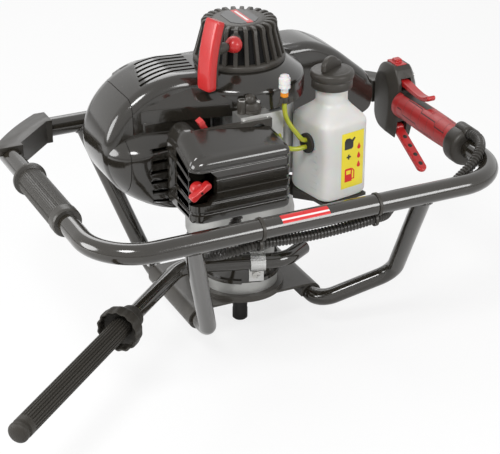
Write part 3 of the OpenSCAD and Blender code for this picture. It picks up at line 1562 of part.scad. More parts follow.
handle_loop();
rear_bar();
corner_brackets();
left_leg();
right_leg();
base_plate();
left_grip();
throttle_housing_left();
throttle_housing_right();
throttle_grip();
throttle_end_cap();
throttle_trigger();
lock_lever();
stop_switch();
cable_conduit();
cable_ties();
support_bar();
support_grip();
hand_guard();
bar_clamp();
machine_screws();
gear_case_lower();
gear_case_upper();
output_shaft();
output_gear();
bearings();
layshaft();
clutch_drum();
clutch_shoes();
clutch_housing();
crankcase();
crankshaft();
connecting_rod();
piston();
cylinder_block();  // cylinder
spark_plug();
ignition_coil();
flywheel();
fan_housing();
engine_cowl();
cowl_end_cap();
muffler();
muffler_guard();
starter_housing();
starter_pulley();
rope_guide();
starter_rope();
starter_handle();
carburetor();
filter_base();
filter_element();
filter_cover();
filter_knob();
choke_lever();
fuel_bottle();
fuel_cap();
tank_bracket();
tank_grommet();
fuel_lines();
vent_filter();
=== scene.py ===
"""Looks of a petrol earth auger power head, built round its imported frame.

Lengths in the sub-assemblies are millimetres; those of the finishes and the studio are metres.
"""

from __future__ import annotations

import logging
import math
from dataclasses import dataclass
from enum import Enum
from typing import Callable, Sequence

import bmesh
import bpy
from mathutils import Matrix, Vector


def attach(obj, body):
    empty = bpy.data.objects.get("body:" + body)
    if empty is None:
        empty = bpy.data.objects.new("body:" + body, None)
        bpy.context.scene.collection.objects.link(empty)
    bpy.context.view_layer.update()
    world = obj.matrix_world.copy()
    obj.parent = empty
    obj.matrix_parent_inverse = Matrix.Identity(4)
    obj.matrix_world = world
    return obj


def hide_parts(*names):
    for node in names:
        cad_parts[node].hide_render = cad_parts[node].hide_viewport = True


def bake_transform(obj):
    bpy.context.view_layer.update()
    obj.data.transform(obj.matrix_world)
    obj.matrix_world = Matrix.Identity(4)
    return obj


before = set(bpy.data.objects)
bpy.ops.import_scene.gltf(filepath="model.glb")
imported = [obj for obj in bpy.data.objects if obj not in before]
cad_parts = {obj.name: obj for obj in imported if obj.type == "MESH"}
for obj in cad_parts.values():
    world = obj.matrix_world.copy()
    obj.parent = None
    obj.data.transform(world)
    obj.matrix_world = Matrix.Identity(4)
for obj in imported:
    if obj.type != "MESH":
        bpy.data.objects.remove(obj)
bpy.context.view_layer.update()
MM = 0.001  # metres in a millimetre
MERGE = 1e-6  # metres within which points are one
SHARP = 38.0  # degrees above which an edge stays sharp
TIP_R = 0.01  # smallest radius of a turned piece, in millimetres
LOG = logging.getLogger("auger")
Point = Sequence[float]
Colour = tuple[float, float, float]


class Body(Enum):
    """Bodies of the frame that pieces ride on."""

    FRAME = "frame"
    OUTPUT = "output"
    PULL = "pull_handle"
    TRIGGER = "trigger"
    LEVER = "lever"
    SWITCH = "switch"
    CHOKE = "choke"
    KNOB = "knob"
    CAP = "cap"


class Field:
    """One shader value whose operators add Math nodes."""

    def __init__(self, graph: Graph, socket: bpy.types.NodeSocket) -> None:
        """Keeps the graph that the value belongs to and its socket."""
        self.graph = graph
        self.socket = socket

    def _math(self, operation: str, first: Field | float, second: Field | float = 0.0) -> Field:
        """Adds one Math node and returns its result."""
        return self.graph.node("ShaderNodeMath", {"operation": operation}, {0: first, 1: second})

    def __add__(self, other: Field | float) -> Field:
        """Sum."""
        return self._math("ADD", self, other)

    __radd__ = __add__

    def __sub__(self, other: Field | float) -> Field:
        """Difference."""
        return self._math("SUBTRACT", self, other)

    def __rsub__(self, other: Field | float) -> Field:
        """Difference from a number."""
        return self._math("SUBTRACT", other, self)

    def __mul__(self, other: Field | float) -> Field:
        """Product."""
        return self._math("MULTIPLY", self, other)

    __rmul__ = __mul__

    def __truediv__(self, other: Field | float) -> Field:
        """Quotient."""
        return self._math("DIVIDE", self, other)

    def __abs__(self) -> Field:
        """Size without sign."""
        return self._math("ABSOLUTE", self)

    def __mod__(self, other: float) -> Field:
        """Remainder that stays positive."""
        return self._math("FLOORED_MODULO", self, other)

    def angle_from(self, other: Field) -> Field:
        """Angle whose tangent is this value over the other one."""
        return self._math("ARCTAN2", self, other)

    def rise(self, low: float, high: float) -> Field:
        """Smooth step from 0 at low to 1 at high.

        Args:
            low: Value where the step starts.
            high: Value where it ends.

        Returns:
            The step's height.
        """
        settings = {"interpolation_type": "SMOOTHSTEP", "clamp": True}
        inputs = {"Value": self, "From Min": low, "From Max": high}
        return self.graph.node("ShaderNodeMapRange", settings, inputs)


class Graph:
    """Node graph of one material."""

    def __init__(self, name: str) -> None:
        """Makes a material with a plain principled shader.

        Args:
            name: Name of the material.
        """
        self.material = bpy.data.materials.new(name)
        self.material.use_nodes = True
        self.tree = self.material.node_tree
        self.shader = self.tree.nodes["Principled BSDF"]

    def node(self, kind: str, settings: dict | None = None, inputs: dict | None = None,
             output: int | str = 0) -> Field:
        """Adds any node.

        Args:
            kind: Blender's type of the node.
            settings: Properties set first; "stops" sets a colour ramp as (position, colour) pairs.
            inputs: Values or links by socket name or index.
            output: Socket that is returned.

        Returns:
            The chosen output.
        """
        made = self.tree.nodes.new(kind)
        for key, value in (settings or {}).items():
            if key == "stops":
                ramp = made.color_ramp
                while len(ramp.elements) < len(value):
                    ramp.elements.new(0.5)
                for stop, (position, colour) in zip(ramp.elements, value):
                    stop.position = position
                    stop.color = (*colour, 1)
            else:
                setattr(made, key, value)
        for key, value in (inputs or {}).items():
            self.feed(made.inputs[key], value)
        return Field(self, made.outputs[output])

    def feed(self, socket: bpy.types.NodeSocket, value: object) -> None:
        """Links a field to a socket, or sets the socket's own value.

        Args:
            socket: Socket that is fed.
            value: Field, number, colour or vector.
        """
        if isinstance(value, Field):
            self.tree.links.new(value.socket, socket)
        else:
            socket.default_value = value

    def place(self) -> Field:
        """Place on the piece in metres."""
        return self.node("ShaderNodeTexCoord", output="Object")

    def axes(self) -> tuple[Field, Field, Field]:
        """Place on the piece as three separate numbers.

        Returns:
            The place along x, y and z in metres.
        """
        split = self.node("ShaderNodeSeparateXYZ", inputs={0: self.place()})
        outputs = split.socket.node.outputs
        return Field(self, outputs[0]), Field(self, outputs[1]), Field(self, outputs[2])

    def noise(self, scale: float, detail: float = 2.0, rough: float = 0.5,
              stretch: Point = (1, 1, 1)) -> Field:
        """Noise between 0 and 1.

        Args:
            scale: Features per metre.
            detail: Octaves.
            rough: Weight of the finer octaves.
            stretch: Scale of each axis, to draw the noise out along one of them.

        Returns:
            The noise's value.
        """
        place = self.place()
        if tuple(stretch) != (1, 1, 1):
            place = self.node("ShaderNodeMapping", inputs={"Vector": place, "Scale": stretch})
        inputs = {"Vector": place, "Scale": scale, "Detail": detail, "Roughness": rough}
        return self.node("ShaderNodeTexNoise", inputs=inputs)

    def cells(self, scale: float) -> Field:
        """Distance to the nearest cell centre, for grain and foam."""
        return self.node("ShaderNodeTexVoronoi", inputs={"Vector": self.place(), "Scale": scale})

    def mix(self, factor: Field | float, first: Field | Colour, second: Field | Colour) -> Field:
        """Blends two colours by a factor."""
        inputs = {0: factor, 6: self._rgba(first), 7: self._rgba(second)}
        return self.node("ShaderNodeMix", {"data_type": "RGBA"}, inputs, output=2)

    @staticmethod
    def _rgba(colour: Field | Colour) -> object:
        """Adds alpha to a plain colour."""
        return colour if isinstance(colour, Field) else (*colour, 1)

    def bump(self, height: Field, strength: float, distance: float) -> None:
        """Feeds a height field to the shader's normal."""
        inputs = {"Height": height, "Strength": strength, "Distance": distance}
        self.feed(self.shader.inputs["Normal"], self.node("ShaderNodeBump", inputs=inputs))

    def set(self, **values: object) -> None:
        """Feeds shader sockets by name, with underscores for spaces."""
        for key, value in values.items():
            self.feed(self.shader.inputs[key.replace("_", " ")], value)


@dataclass(frozen=True)
class Finish:
    """A surface finish, made once as a material."""

    name: str
    colour: Colour
    roughness: float = 0.4

    def make(self) -> bpy.types.Material:
        """Makes the finish's material on first use.

        Returns:
            The material.
        """
        title = f"finish_{self.name}"
        known = bpy.data.materials.get(title)
        if known:
            return known
        graph = Graph(title)
        self.paint(graph)
        return graph.material

    def paint(self, graph: Graph) -> None:
        """Sets the shader's sockets."""
        graph.set(Base_Color=(*self.colour, 1), Roughness=self.roughness)

    def varied(self, graph: Graph, spread: float = 0.25, scale: float = 18.0) -> Field:
        """Base colour with a slow uneven tone.

        Args:
            graph: Graph that takes the nodes.
            spread: Share of the colour lost or gained.
            scale: Blotches per metre.

        Returns:
            The varied colour.
        """
        dark = tuple(c * (1 - spread) for c in self.colour)
        light = tuple(min(1.0, c * (1 + spread)) for c in self.colour)
        return graph.mix(graph.noise(scale, 4, 0.6), dark, light)


@dataclass(frozen=True)
class Coat(Finish):
    """Sprayed paint with orange peel, dulled patches and a thin film of dust."""

    coat: float = 0.3
    dust: float = 0.03
    shine: float = 0.3
    peel_scale: float = 650.0
    patch_scale: float = 30.0
    dust_scale: float = 90.0
    dust_colour: Colour = (0.45, 0.43, 0.40)

    def paint(self, graph: Graph) -> None:
        """Adds peel, dull patches and dust to the paint.

        Args:
            graph: Graph that takes the nodes.
        """
        peel = graph.noise(self.peel_scale)
        patch = graph.noise(self.patch_scale, 5, 0.65)
        dust = graph.noise(self.dust_scale, 6, 0.7).rise(0.52, 0.8) * self.dust
        graph.set(
            Base_Color=graph.mix(dust, self.varied(graph), self.dust_colour),
            Roughness=self.roughness + (patch - 0.5) * 0.22,
            Coat_Weight=self.coat,
            Coat_Roughness=0.08,
            Specular_IOR_Level=self.shine,
        )
        graph.bump(peel, 0.08, 0.0004)


@dataclass(frozen=True)
class Moulded(Finish):
    """Moulded plastic: fine spark-eroded grain under an uneven sheen."""

    grain: float = 0.12
    scale: float = 2200.0
    coat: float = 0.0
    shine: float = 0.3
    scuff_scale: float = 70.0
    patch_scale: float = 24.0
    wave_scale: float = 400.0

    def paint(self, graph: Graph) -> None:
        """Adds mould grain, sheen patches and rubbed scuffs.

        Args:
            graph: Graph that takes the nodes.
        """
        grain = graph.cells(self.scale)
        scuff = graph.noise(self.scuff_scale, 6, 0.7, (1, 1, 3)).rise(0.6, 0.78)
        patch = graph.noise(self.patch_scale, 4, 0.6)
        pale = tuple(min(1.0, c * 1.25 + 0.012) for c in self.colour)
        graph.set(
            Base_Color=graph.mix(scuff * 0.35, self.varied(graph, 0.15), pale),
            Roughness=self.roughness + (patch - 0.5) * 0.14 + scuff * 0.08,
            Coat_Weight=self.coat,
            Coat_Roughness=0.06,
            Specular_IOR_Level=self.shine,
        )
        graph.bump(grain + graph.noise(self.wave_scale, 3) * 0.5, self.grain, 0.0003)


@dataclass(frozen=True)
class Cast(Finish):
    """Cast metal with sand grain, dark pores and handling marks."""

    metal: float = 0.85
    grain: float = 0.3
    grain_scale: float = 900.0
    pore_scale: float = 700.0
    tone_scale: float = 35.0
    dirt_scale: float = 14.0
    shade: float = 0.45

    def paint(self, graph: Graph) -> None:
        """Adds grain, pores and tone to the casting.

        Args:
            graph: Graph that takes the nodes.
        """
        grain = graph.noise(self.grain_scale, 5, 0.7)
        pores = graph.cells(self.pore_scale).rise(0.12, 0.0)
        tone = graph.noise(self.tone_scale, 5, 0.6)
        dirt = graph.noise(self.dirt_scale, 6, 0.7).rise(0.45, 0.75)
        dark = tuple(c * self.shade for c in self.colour)
        base = graph.mix(dirt * 0.5, self.varied(graph, 0.12, 60), dark)
        graph.set(
            Base_Color=graph.mix(pores * 0.4, base, dark),
            Metallic=self.metal,
            Roughness=self.roughness + (tone - 0.5) * 0.25,
        )
        graph.bump(grain, self.grain, 0.0004)


@dataclass(frozen=True)
class Turned(Finish):
    """Machined or plated steel with fine tool lines and stains."""

    stretch: tuple[float, float, float] = (1, 1, 30)
    line_scale: float = 260.0
    stain_scale: float = 45.0
    stain_tint: Colour = (0.62, 0.56, 0.48)
    metal: float = 0.95

    def paint(self, graph: Graph) -> None:
        """Adds tool lines and stains to the steel.

        Args:
            graph: Graph that takes the nodes.
        """
        lines = graph.noise(self.line_scale, 3, 0.6, self.stretch)
        stain = graph.noise(self.stain_scale, 5, 0.65).rise(0.5, 0.8)
        brown = tuple(c * k for c, k in zip(self.colour, self.stain_tint))
        graph.set(
            Base_Color=graph.mix(stain * 0.5, self.varied(graph, 0.1, 120), brown),
            Metallic=self.metal,
            Roughness=self.roughness + (lines - 0.5) * 0.3,
        )
        graph.bump(lines, 0.12, 0.0002)


@dataclass(frozen=True)
class Clear(Finish):
    """Translucent plastic that lets light into its wall."""

    depth: float = 0.012
    through: float = 0.12
    scatter: float = 0.35
    index: float = 1.46
    cloud_scale: float = 40.0
    wave_scale: float = 160.0

    def paint(self, graph: Graph) -> None:
        """Adds depth, cloudiness and a faint moulded waviness.

        Args:
            graph: Graph that takes the nodes.
        """
        cloud = graph.noise(self.cloud_scale, 5, 0.6)
        shade = tuple(c * 0.9 for c in self.colour)
        graph.set(
            Base_Color=graph.mix(cloud, shade, self.colour),
            Roughness=self.roughness + (cloud - 0.5) * 0.12,
            Subsurface_Weight=self.scatter,
            Subsurface_Scale=self.depth,
            Transmission_Weight=self.through,
            IOR=self.index,
        )
        graph.bump(graph.noise(self.wave_scale, 3), 0.05, 0.0006)


@dataclass(frozen=True)
class Stepped(Finish):
    """Two-shot grip: red shell with black soft lines that step along a bar that runs along Y."""

    inlay: Colour = (0.010, 0.010, 0.011)
    centre: tuple[float, float] = (0.265, 0.240)
    lines: int = 5
    stride: float = 0.038
    middle: float = -0.024
    reach: float = 0.055

    def paint(self, graph: Graph) -> None:
        """Draws the stepped lines and the seams between pads from the place along and round the bar.

        Args:
            graph: Graph that takes the nodes.
        """
        x, y, z = graph.axes()
        turn = (z - self.centre[1]).angle_from(x - self.centre[0]) * (self.lines / math.tau)
        along = y / self.stride + 8.0
        step = (along % 1.0).rise(0.46, 0.60) + (along - along % 1.0)
        track = abs((turn + step * 0.24) % 1.0 - 0.5)
        ends = abs(y - self.middle).rise(self.reach + 0.003, self.reach)
        line = track.rise(0.034, 0.024) * ends
        seam = abs((along * 2.0 + turn * 0.3) % 1.0 - 0.5).rise(0.035, 0.02) * ends
        dull = tuple(c * 0.45 for c in self.colour)
        red = graph.mix(seam * 0.8, self.varied(graph, 0.12), dull)
        graph.set(
            Base_Color=graph.mix(line, red, self.inlay),
            Roughness=self.roughness + line * 0.25 + (graph.noise(60) - 0.5) * 0.1,
        )
        graph.bump(graph.cells(2400) * 0.2 - line * 3.0 - seam * 2.0, 0.25, 0.0005)


@dataclass(frozen=True)
class Printed(Finish):
    """Printed film: flat ink with a faint paper texture and handling marks."""

    def ink(self, graph: Graph) -> Field:
        """Colour of the print."""
        return self.varied(graph, 0.06, 60)

    def paint(self, graph: Graph) -> None:
        """Prints the ink on a slightly uneven film.

        Args:
            graph: Graph that takes the nodes.
        """
        graph.set(
            Base_Color=self.ink(graph),
            Roughness=self.roughness + (graph.noise(120, 4) - 0.5) * 0.15,
            Coat_Weight=0.25,
        )
        graph.bump(graph.noise(900, 3), 0.04, 0.0003)


@dataclass(frozen=True)
class Banded(Printed):
    """Printed film crossed by a second colour between two levels of one axis."""

    second: Colour = (0.8, 0.8, 0.8)
    axis: int = 2
    low: float = 0.0
    high: float = 1.0
    blur: float = 0.0002

    def ink(self, graph: Graph) -> Field:
        """Both colours of the print.

        Args:
            graph: Graph that takes the nodes.

        Returns:
            The colour at each place.
        """
        level, blur = graph.axes()[self.axis], self.blur
        mask = level.rise(self.low - blur, self.low + blur) * level.rise(self.high + blur, self.high - blur)
        return graph.mix(mask, self.varied(graph, 0.06, 60), self.second)


FRAME_PAINT = Coat("frame_paint", (0.0185, 0.0155, 0.0110), 0.14, coat=0.6, dust=0.012, shine=0.5)
BRACKET_BLACK = Coat("bracket_black", (0.029, 0.0255, 0.0205), 0.34, coat=0.1, dust=0.012, shine=0.35)
PLATE_PAINT = Coat("plate_paint", (0.050, 0.0460, 0.0400), 0.34, coat=0.1, dust=0.05, shine=0.3)
COWL_GLOSS = Moulded("cowl_gloss", (0.0180, 0.0158, 0.0124), 0.15, grain=0.02, coat=0.45, shine=0.45)
HANDLE_BLACK = Moulded("handle_black", (0.038, 0.0340, 0.0285), 0.38, grain=0.15, shine=0.35)
# Near-black matte finish that paints the shade in hollows: between the starter's ribs and in the knob's
# bore.
PAINTED_SHADE = Moulded("painted_shade", (0.003, 0.003, 0.003), 0.7, grain=0.1, shine=0.15)
RUBBER = Moulded("grip_rubber", (0.031, 0.0280, 0.0232), 0.52, grain=0.25, scale=1700, shine=0.25)
RIBBED_RUBBER = Moulded("ribbed_rubber", (0.040, 0.0370, 0.0320), 0.34, grain=0.15, scale=1700, shine=0.45)
CONDUIT_BLACK = Moulded("conduit_black", (0.036, 0.0330, 0.0290), 0.32, grain=0.06, coat=0.15)
RED = Moulded("signal_red", (0.46, 0.018, 0.018), 0.30, grain=0.05, coat=0.2, shine=0.4)
RED_GRIP = Stepped("stepped_grip", (0.40, 0.022, 0.022), 0.40)
ALLOY = Cast("cast_alloy", (0.42, 0.42, 0.405), 0.45)
ALLOY_FINE = Cast("carburettor_alloy", (0.55, 0.55, 0.53), 0.36, grain=0.15)
ZINC = Turned("zinc_plate", (0.55, 0.55, 0.54), 0.26, stretch=(1, 1, 8))
STEEL = Turned("shaft_steel", (0.045, 0.044, 0.043), 0.34)
GEAR_STEEL = Turned("gear_steel", (0.48, 0.48, 0.47), 0.34, stretch=(8, 8, 1))
BRASS = Turned("brass_fitting", (0.62, 0.45, 0.18), 0.30)
LINING = Cast("clutch_lining", (0.20, 0.18, 0.16), 0.60, metal=0.4)
CERAMIC = Moulded("plug_ceramic", (0.80, 0.79, 0.75), 0.18, grain=0.02, coat=0.5)
EXHAUST = Cast("exhaust_steel", (0.16, 0.145, 0.13), 0.52, metal=0.7, grain=0.15)
FOAM = Moulded("filter_foam", (0.05, 0.05, 0.045), 0.9, grain=0.9, scale=500)
ROPE = Moulded("pull_rope", (0.010, 0.010, 0.011), 0.8, grain=0.6, scale=1300)
BOTTLE = Clear("bottle_white", (0.74, 0.735, 0.71), 0.34)
VENT_WHITE = Clear("vent_white", (0.80, 0.80, 0.78), 0.30, depth=0.004)
FUEL_TUBE = Clear("fuel_tube", (0.55, 0.58, 0.05), 0.22, depth=0.003, through=0.3)
ORANGE = Moulded("fitting_orange", (0.72, 0.26, 0.02), 0.35, grain=0.04, coat=0.1)
LABEL = Printed("label_yellow", (0.80, 0.66, 0.035), 0.42)
INK_BLACK = Printed("label_black", (0.012, 0.012, 0.012), 0.5)
INK_RED = Printed("label_red", (0.62, 0.015, 0.015), 0.45)
BAND_RED = Banded("bar_band", (0.62, 0.012, 0.014), 0.3, second=(0.80, 0.78, 0.77), axis=2,
                  low=0.2492, high=0.2506)
BADGE = Banded("starter_badge_print", (0.02, 0.02, 0.02), 0.35, second=(0.50, 0.016, 0.016), axis=0,
               low=-0.0005, high=0.0075)
BADGE_PALE = Printed("starter_badge_pale", (0.72, 0.71, 0.69), 0.4)


def arc(centre: Point, radius: float, degrees: Sequence[float], tall: float = 0.0) -> list[Point]:
    """Points of a round or oval stretch in a plane.

    Args:
        centre: Centre of the stretch.
        radius: Its radius.
        degrees: Angles of its points.
        tall: Its second radius, where it is oval.

    Returns:
        The points as pairs.
    """
    up = tall or radius
    turns = [math.radians(d) for d in degrees]
    return [(centre[0] + radius * math.cos(a), centre[1] + up * math.sin(a)) for a in turns]


def fraction(value: float) -> float:
    """Holds a value between 0 and 1."""
    return max(0.0, min(1.0, value))


def shade(mesh: bpy.types.Mesh, sharp: float) -> None:
    """Shades a mesh smooth, apart from edges above an angle in degrees."""
    mesh.polygons.foreach_set("use_smooth", [True] * len(mesh.polygons))
    mesh.set_sharp_from_angle(angle=math.radians(sharp))


class Workshop:
    """Makes mesh pieces from rings, lathes, tubes, prisms and softened copies of the solids."""

    @staticmethod
    def piece(name: str, bm: bmesh.types.BMesh, sharp: float = SHARP) -> bpy.types.Object:
        """Turns a bmesh into a shaded object.

        Args:
            name: Name of the piece.
            bm: Mesh to keep; it is freed.
            sharp: Angle in degrees above which an edge stays sharp.

        Returns:
            The new object.
        """
        bmesh.ops.remove_doubles(bm, verts=bm.verts, dist=MERGE)
        bmesh.ops.recalc_face_normals(bm, faces=bm.faces)
        mesh = bpy.data.meshes.new(name)
        bm.to_mesh(mesh)
        bm.free()
        shade(mesh, sharp)
        made = bpy.data.objects.new(name, mesh)
        bpy.context.scene.collection.objects.link(made)
        return made

    @classmethod
    def rings(cls, name: str, rings: Sequence[Sequence[Vector]], sharp: float = SHARP) -> bpy.types.Object:
        """Skins closed rings of equal length.

        Args:
            name: Name of the piece.
            rings: Rings of points in millimetres; the first and the last one are filled.
            sharp: Angle in degrees above which an edge stays sharp.

        Returns:
            The skinned piece.
        """
        bm = bmesh.new()
        rows = [[bm.verts.new(Vector(p) * MM) for p in ring] for ring in rings]
        count = len(rows[0])
        for near, far in zip(rows, rows[1:]):
            for i in range(count):
                bm.faces.new((near[i], near[(i + 1) % count], far[(i + 1) % count], far[i]))
        bm.faces.new(rows[0][::-1])
        bm.faces.new(rows[-1])
        return cls.piece(name, bm, sharp)

    @classmethod
    def sheet(cls, name: str, rows: Sequence[Sequence[Vector]]) -> bpy.types.Object:
        """Skins open rows of points of equal length.

        Args:
            name: Name of the piece.
            rows: Rows of points in millimetres.

        Returns:
            The sheet.
        """
        bm = bmesh.new()
        lines = [[bm.verts.new(p * MM) for p in row] for row in rows]
        for near, far in zip(lines, lines[1:]):
            for k in range(len(near) - 1):
                bm.faces.new((near[k], near[k + 1], far[k + 1], far[k]))
        return cls.piece(name, bm)

    @classmethod
    def lathe(cls, name: str, profile: Sequence[Point], origin: Point = (0, 0, 0), axis: Point = (0, 0, 1),
              steps: int = 64, sharp: float = SHARP) -> bpy.types.Object:
        """Turns a profile of (radius, height) pairs round an axis.

        Args:
            name: Name of the piece.
            profile: Points from one end of the piece to the other.
            origin: Foot of the axis.
            axis: Direction of the axis.
            steps: Points round the piece.
            sharp: Angle in degrees above which an edge stays sharp.

        Returns:
            The turned piece.
        """
        tilt = Vector((0, 0, 1)).rotation_difference(Vector(axis)).to_matrix()
        foot = Vector(origin)
        turns = [math.tau * i / steps for i in range(steps)]
        rings = []
        for radius, height in profile:
            r = max(radius, TIP_R)
            rings.append([foot + tilt @ Vector((r * math.cos(a), r * math.sin(a), height)) for a in turns])
        return cls.rings(name, rings, sharp)

    @classmethod
    def tube(cls, name: str, path: Sequence[Vector], radius: float | Callable[[int, float], float],
             sides: int = 24, sharp: float = SHARP) -> bpy.types.Object:
        """Sweeps a round section along a path.

        Args:
            name: Name of the piece.
            path: Points of the route in millimetres.
            radius: Radius, or a function of the point's number and the angle round the section.
            sides: Points round the section.
            sharp: Angle in degrees above which an edge stays sharp.

        Returns:
            The swept piece.
        """
        size = radius if callable(radius) else lambda _i, _a: radius
        rings = []
        along = (path[1] - path[0]).normalized()
        side = along.orthogonal().normalized()
        for i, point in enumerate(path):
            ahead = (path[min(i + 1, len(path) - 1)] - path[max(i - 1, 0)]).normalized()
            side = (along.rotation_difference(ahead) @ side).normalized()
            along = ahead
            across = along.cross(side)
            turns = [math.tau * k / sides for k in range(sides)]
            rings.append([point + (side * math.cos(a) + across * math.sin(a)) * size(i, a) for a in turns])
        return cls.rings(name, rings, sharp)

    @classmethod
    def prism(cls, name: str, outline: Sequence[Vector], push: Vector, edge: float = 0.0,
              segments: int = 3) -> bpy.types.Object:
        """Pushes a flat outline along a vector and rounds its edges.

        Args:
            name: Name of the piece.
            outline: Points in millimetres, all in one plane.
            push: Depth and direction of the piece.
            edge: Radius of the rounded edges.
            segments: Steps across a rounded edge.

        Returns:
            The new piece.
        """
        made = cls.rings(name, [list(outline), [p + push for p in outline]])
        return cls.edge(made, edge, segments) if edge else made

    @classmethod
    def block(cls, name: str, low: Point, high: Point, edge: float, segments: int = 3) -> bpy.types.Object:
        """Makes a box between two corners with rounded edges.

        Args:
            name: Name of the box.
            low: Its lowest corner.
            high: Its highest corner.
            edge: Radius of the rounded edges.
            segments: Steps across a rounded edge.

        Returns:
            The box.
        """
        (x0, y0, z0), (x1, y1, z1) = low, high
        foot = [Vector((x, y, z0)) for x, y in ((x0, y0), (x1, y0), (x1, y1), (x0, y1))]
        return cls.prism(name, foot, Vector((0, 0, z1 - z0)), edge, segments)

    @staticmethod
    def edge(made: bpy.types.Object, width: float, segments: int = 3,
             angle: float = 32.0) -> bpy.types.Object:
        """Rounds the sharp edges of a piece.

        Args:
            made: Piece to round.
            width: Width of the rounding in millimetres.
            segments: Steps across the rounding.
            angle: Edges above this many degrees are rounded.

        Returns:
            The same piece.
        """
        bevel = made.modifiers.new("edge", "BEVEL")
        bevel.width = width * MM
        bevel.segments = segments
        bevel.limit_method = "ANGLE"
        bevel.angle_limit = math.radians(angle)
        bevel.harden_normals = True
        return made

    @classmethod
    def soften(cls, node: str, width: float, segments: int = 2, angle: float = 35.0) -> bpy.types.Object:
        """Copies a solid and rounds its edges.

        Args:
            node: Name of the frame's node.
            width: Width of the rounding in millimetres.
            segments: Steps across the rounding.
            angle: Edges above this many degrees are rounded.

        Returns:
            A piece that stands for the node.
        """
        flat = math.radians(1.5)
        bm = bmesh.new()
        bm.from_mesh(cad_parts[node].data)
        bmesh.ops.remove_doubles(bm, verts=bm.verts, dist=2 * MERGE)
        bmesh.ops.dissolve_limit(bm, angle_limit=flat, verts=bm.verts, edges=bm.edges)
        made = cls.edge(cls.piece(f"{node}_skin", bm, angle), width, segments, angle)
        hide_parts(node)
        return made

    @staticmethod
    def bend(points: Sequence[Point], radii: Sequence[float], step: float = 6.0) -> list[Vector]:
        """Rounds the inner corners of a path.

        Args:
            points: Corners of the path in millimetres.
            radii: Bend radius at each inner corner.
            step: Turn in degrees between points of a bend.

        Returns:
            Points along the rounded path.
        """
        corners = [Vector(p) for p in points]
        path = [corners[0]]
        for before, corner, after, radius in zip(corners, corners[1:], corners[2:], radii):
            u, v = (corner - before).normalized(), (after - corner).normalized()
            turn = u.angle(v)
            normal = u.cross(v).normalized()
            start = corner - u * radius * math.tan(turn / 2)
            centre = start + normal.cross(u) * radius
            steps = max(3, int(math.degrees(turn) / step))
            turns = [turn * i / steps for i in range(steps + 1)]
            path += [centre + Matrix.Rotation(a, 3, normal) @ (start - centre) for a in turns]
        return path + [corners[-1]]

    @staticmethod
    def spline(points: Sequence[Point], steps: int) -> list[Vector]:
        """Smooth route through given points.

        Args:
            points: Points that the route passes through.
            steps: Points wanted on each stretch.

        Returns:
            Points along the route.
        """
        p = [Vector(q) for q in points]
        route = []
        for i in range(len(p) - 1):
            a, b, c, d = p[max(i - 1, 0)], p[i], p[i + 1], p[min(i + 2, len(p) - 1)]
            for k in range(steps):
                t = k / steps
                square = (2 * a - 5 * b + 4 * c - d) * t**2
                cube = (3 * b - a - 3 * c + d) * t**3
                route.append(0.5 * (2 * b + (c - a) * t + square + cube))
        return route + [p[-1]]


def dress(made: bpy.types.Object, finish: Finish, body: Body = Body.FRAME, *stands_for: str) -> None:
    """Gives a piece its finish and the body it moves with.

    Args:
        made: Piece to dress.
        finish: Finish of its surface.
        body: Body that carries it.
        *stands_for: Frame nodes that the piece takes the place of.
    """
    made.data.materials.clear()
    made.data.materials.append(finish.make())
    if stands_for:
        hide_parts(*stands_for)
    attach(made, body.value)
    LOG.info("piece %s on %s", made.name, body.value)


def paint_node(node: str, finish: Finish) -> None:
    """Gives a carried-over solid a better finish.

    Args:
        node: Name of the frame's node.
        finish: Finish of its surface.
    """
    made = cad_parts[node]
    for slot in made.material_slots:
        slot.material = finish.make()
    LOG.info("node %s painted %s", node, finish.name)


def hex_screw(name: str, at: Point, axis: Point, radius: float, height: float) -> None:
    """Makes a zinc-plated screw whose head has a hexagon recess.

    Args:
        name: Name of the piece.
        at: Centre of the head's seat.
        axis: Way that the head faces.
        radius: Radius of the head.
        height: Height of the head.
    """
    tilt = Vector((0, 0, 1)).rotation_difference(Vector(axis).normalized()).to_matrix()
    foot = Vector(at)
    count, sunk, bevel, recess_r, recess_floor = 24, 0.4, 0.5, radius * 0.5, height * 0.45

    def hexagon(a: float) -> float:
        """Reach of the recess at an angle."""
        return recess_r * math.cos(math.pi / 6) / math.cos((a % (math.pi / 3)) - math.pi / 6)

    def ring(level: float, reach: float = 0.0) -> list[Vector]:
        """One ring of the head at a level, or of its recess where no reach is given.

        Args:
            level: Height over the seat.
            reach: Radius of the ring.

        Returns:
            The ring's points.
        """
        points = []
        for i in range(count):
            a = math.tau * i / count
            r = reach or hexagon(a)
            points.append(foot + tilt @ Vector((r * math.cos(a), r * math.sin(a), level)))
        return points

    head = [ring(-sunk, radius), ring(height - bevel, radius), ring(height, radius - bevel)]
    dress(Workshop.rings(name, [*head, ring(height), ring(recess_floor)]), ZINC)


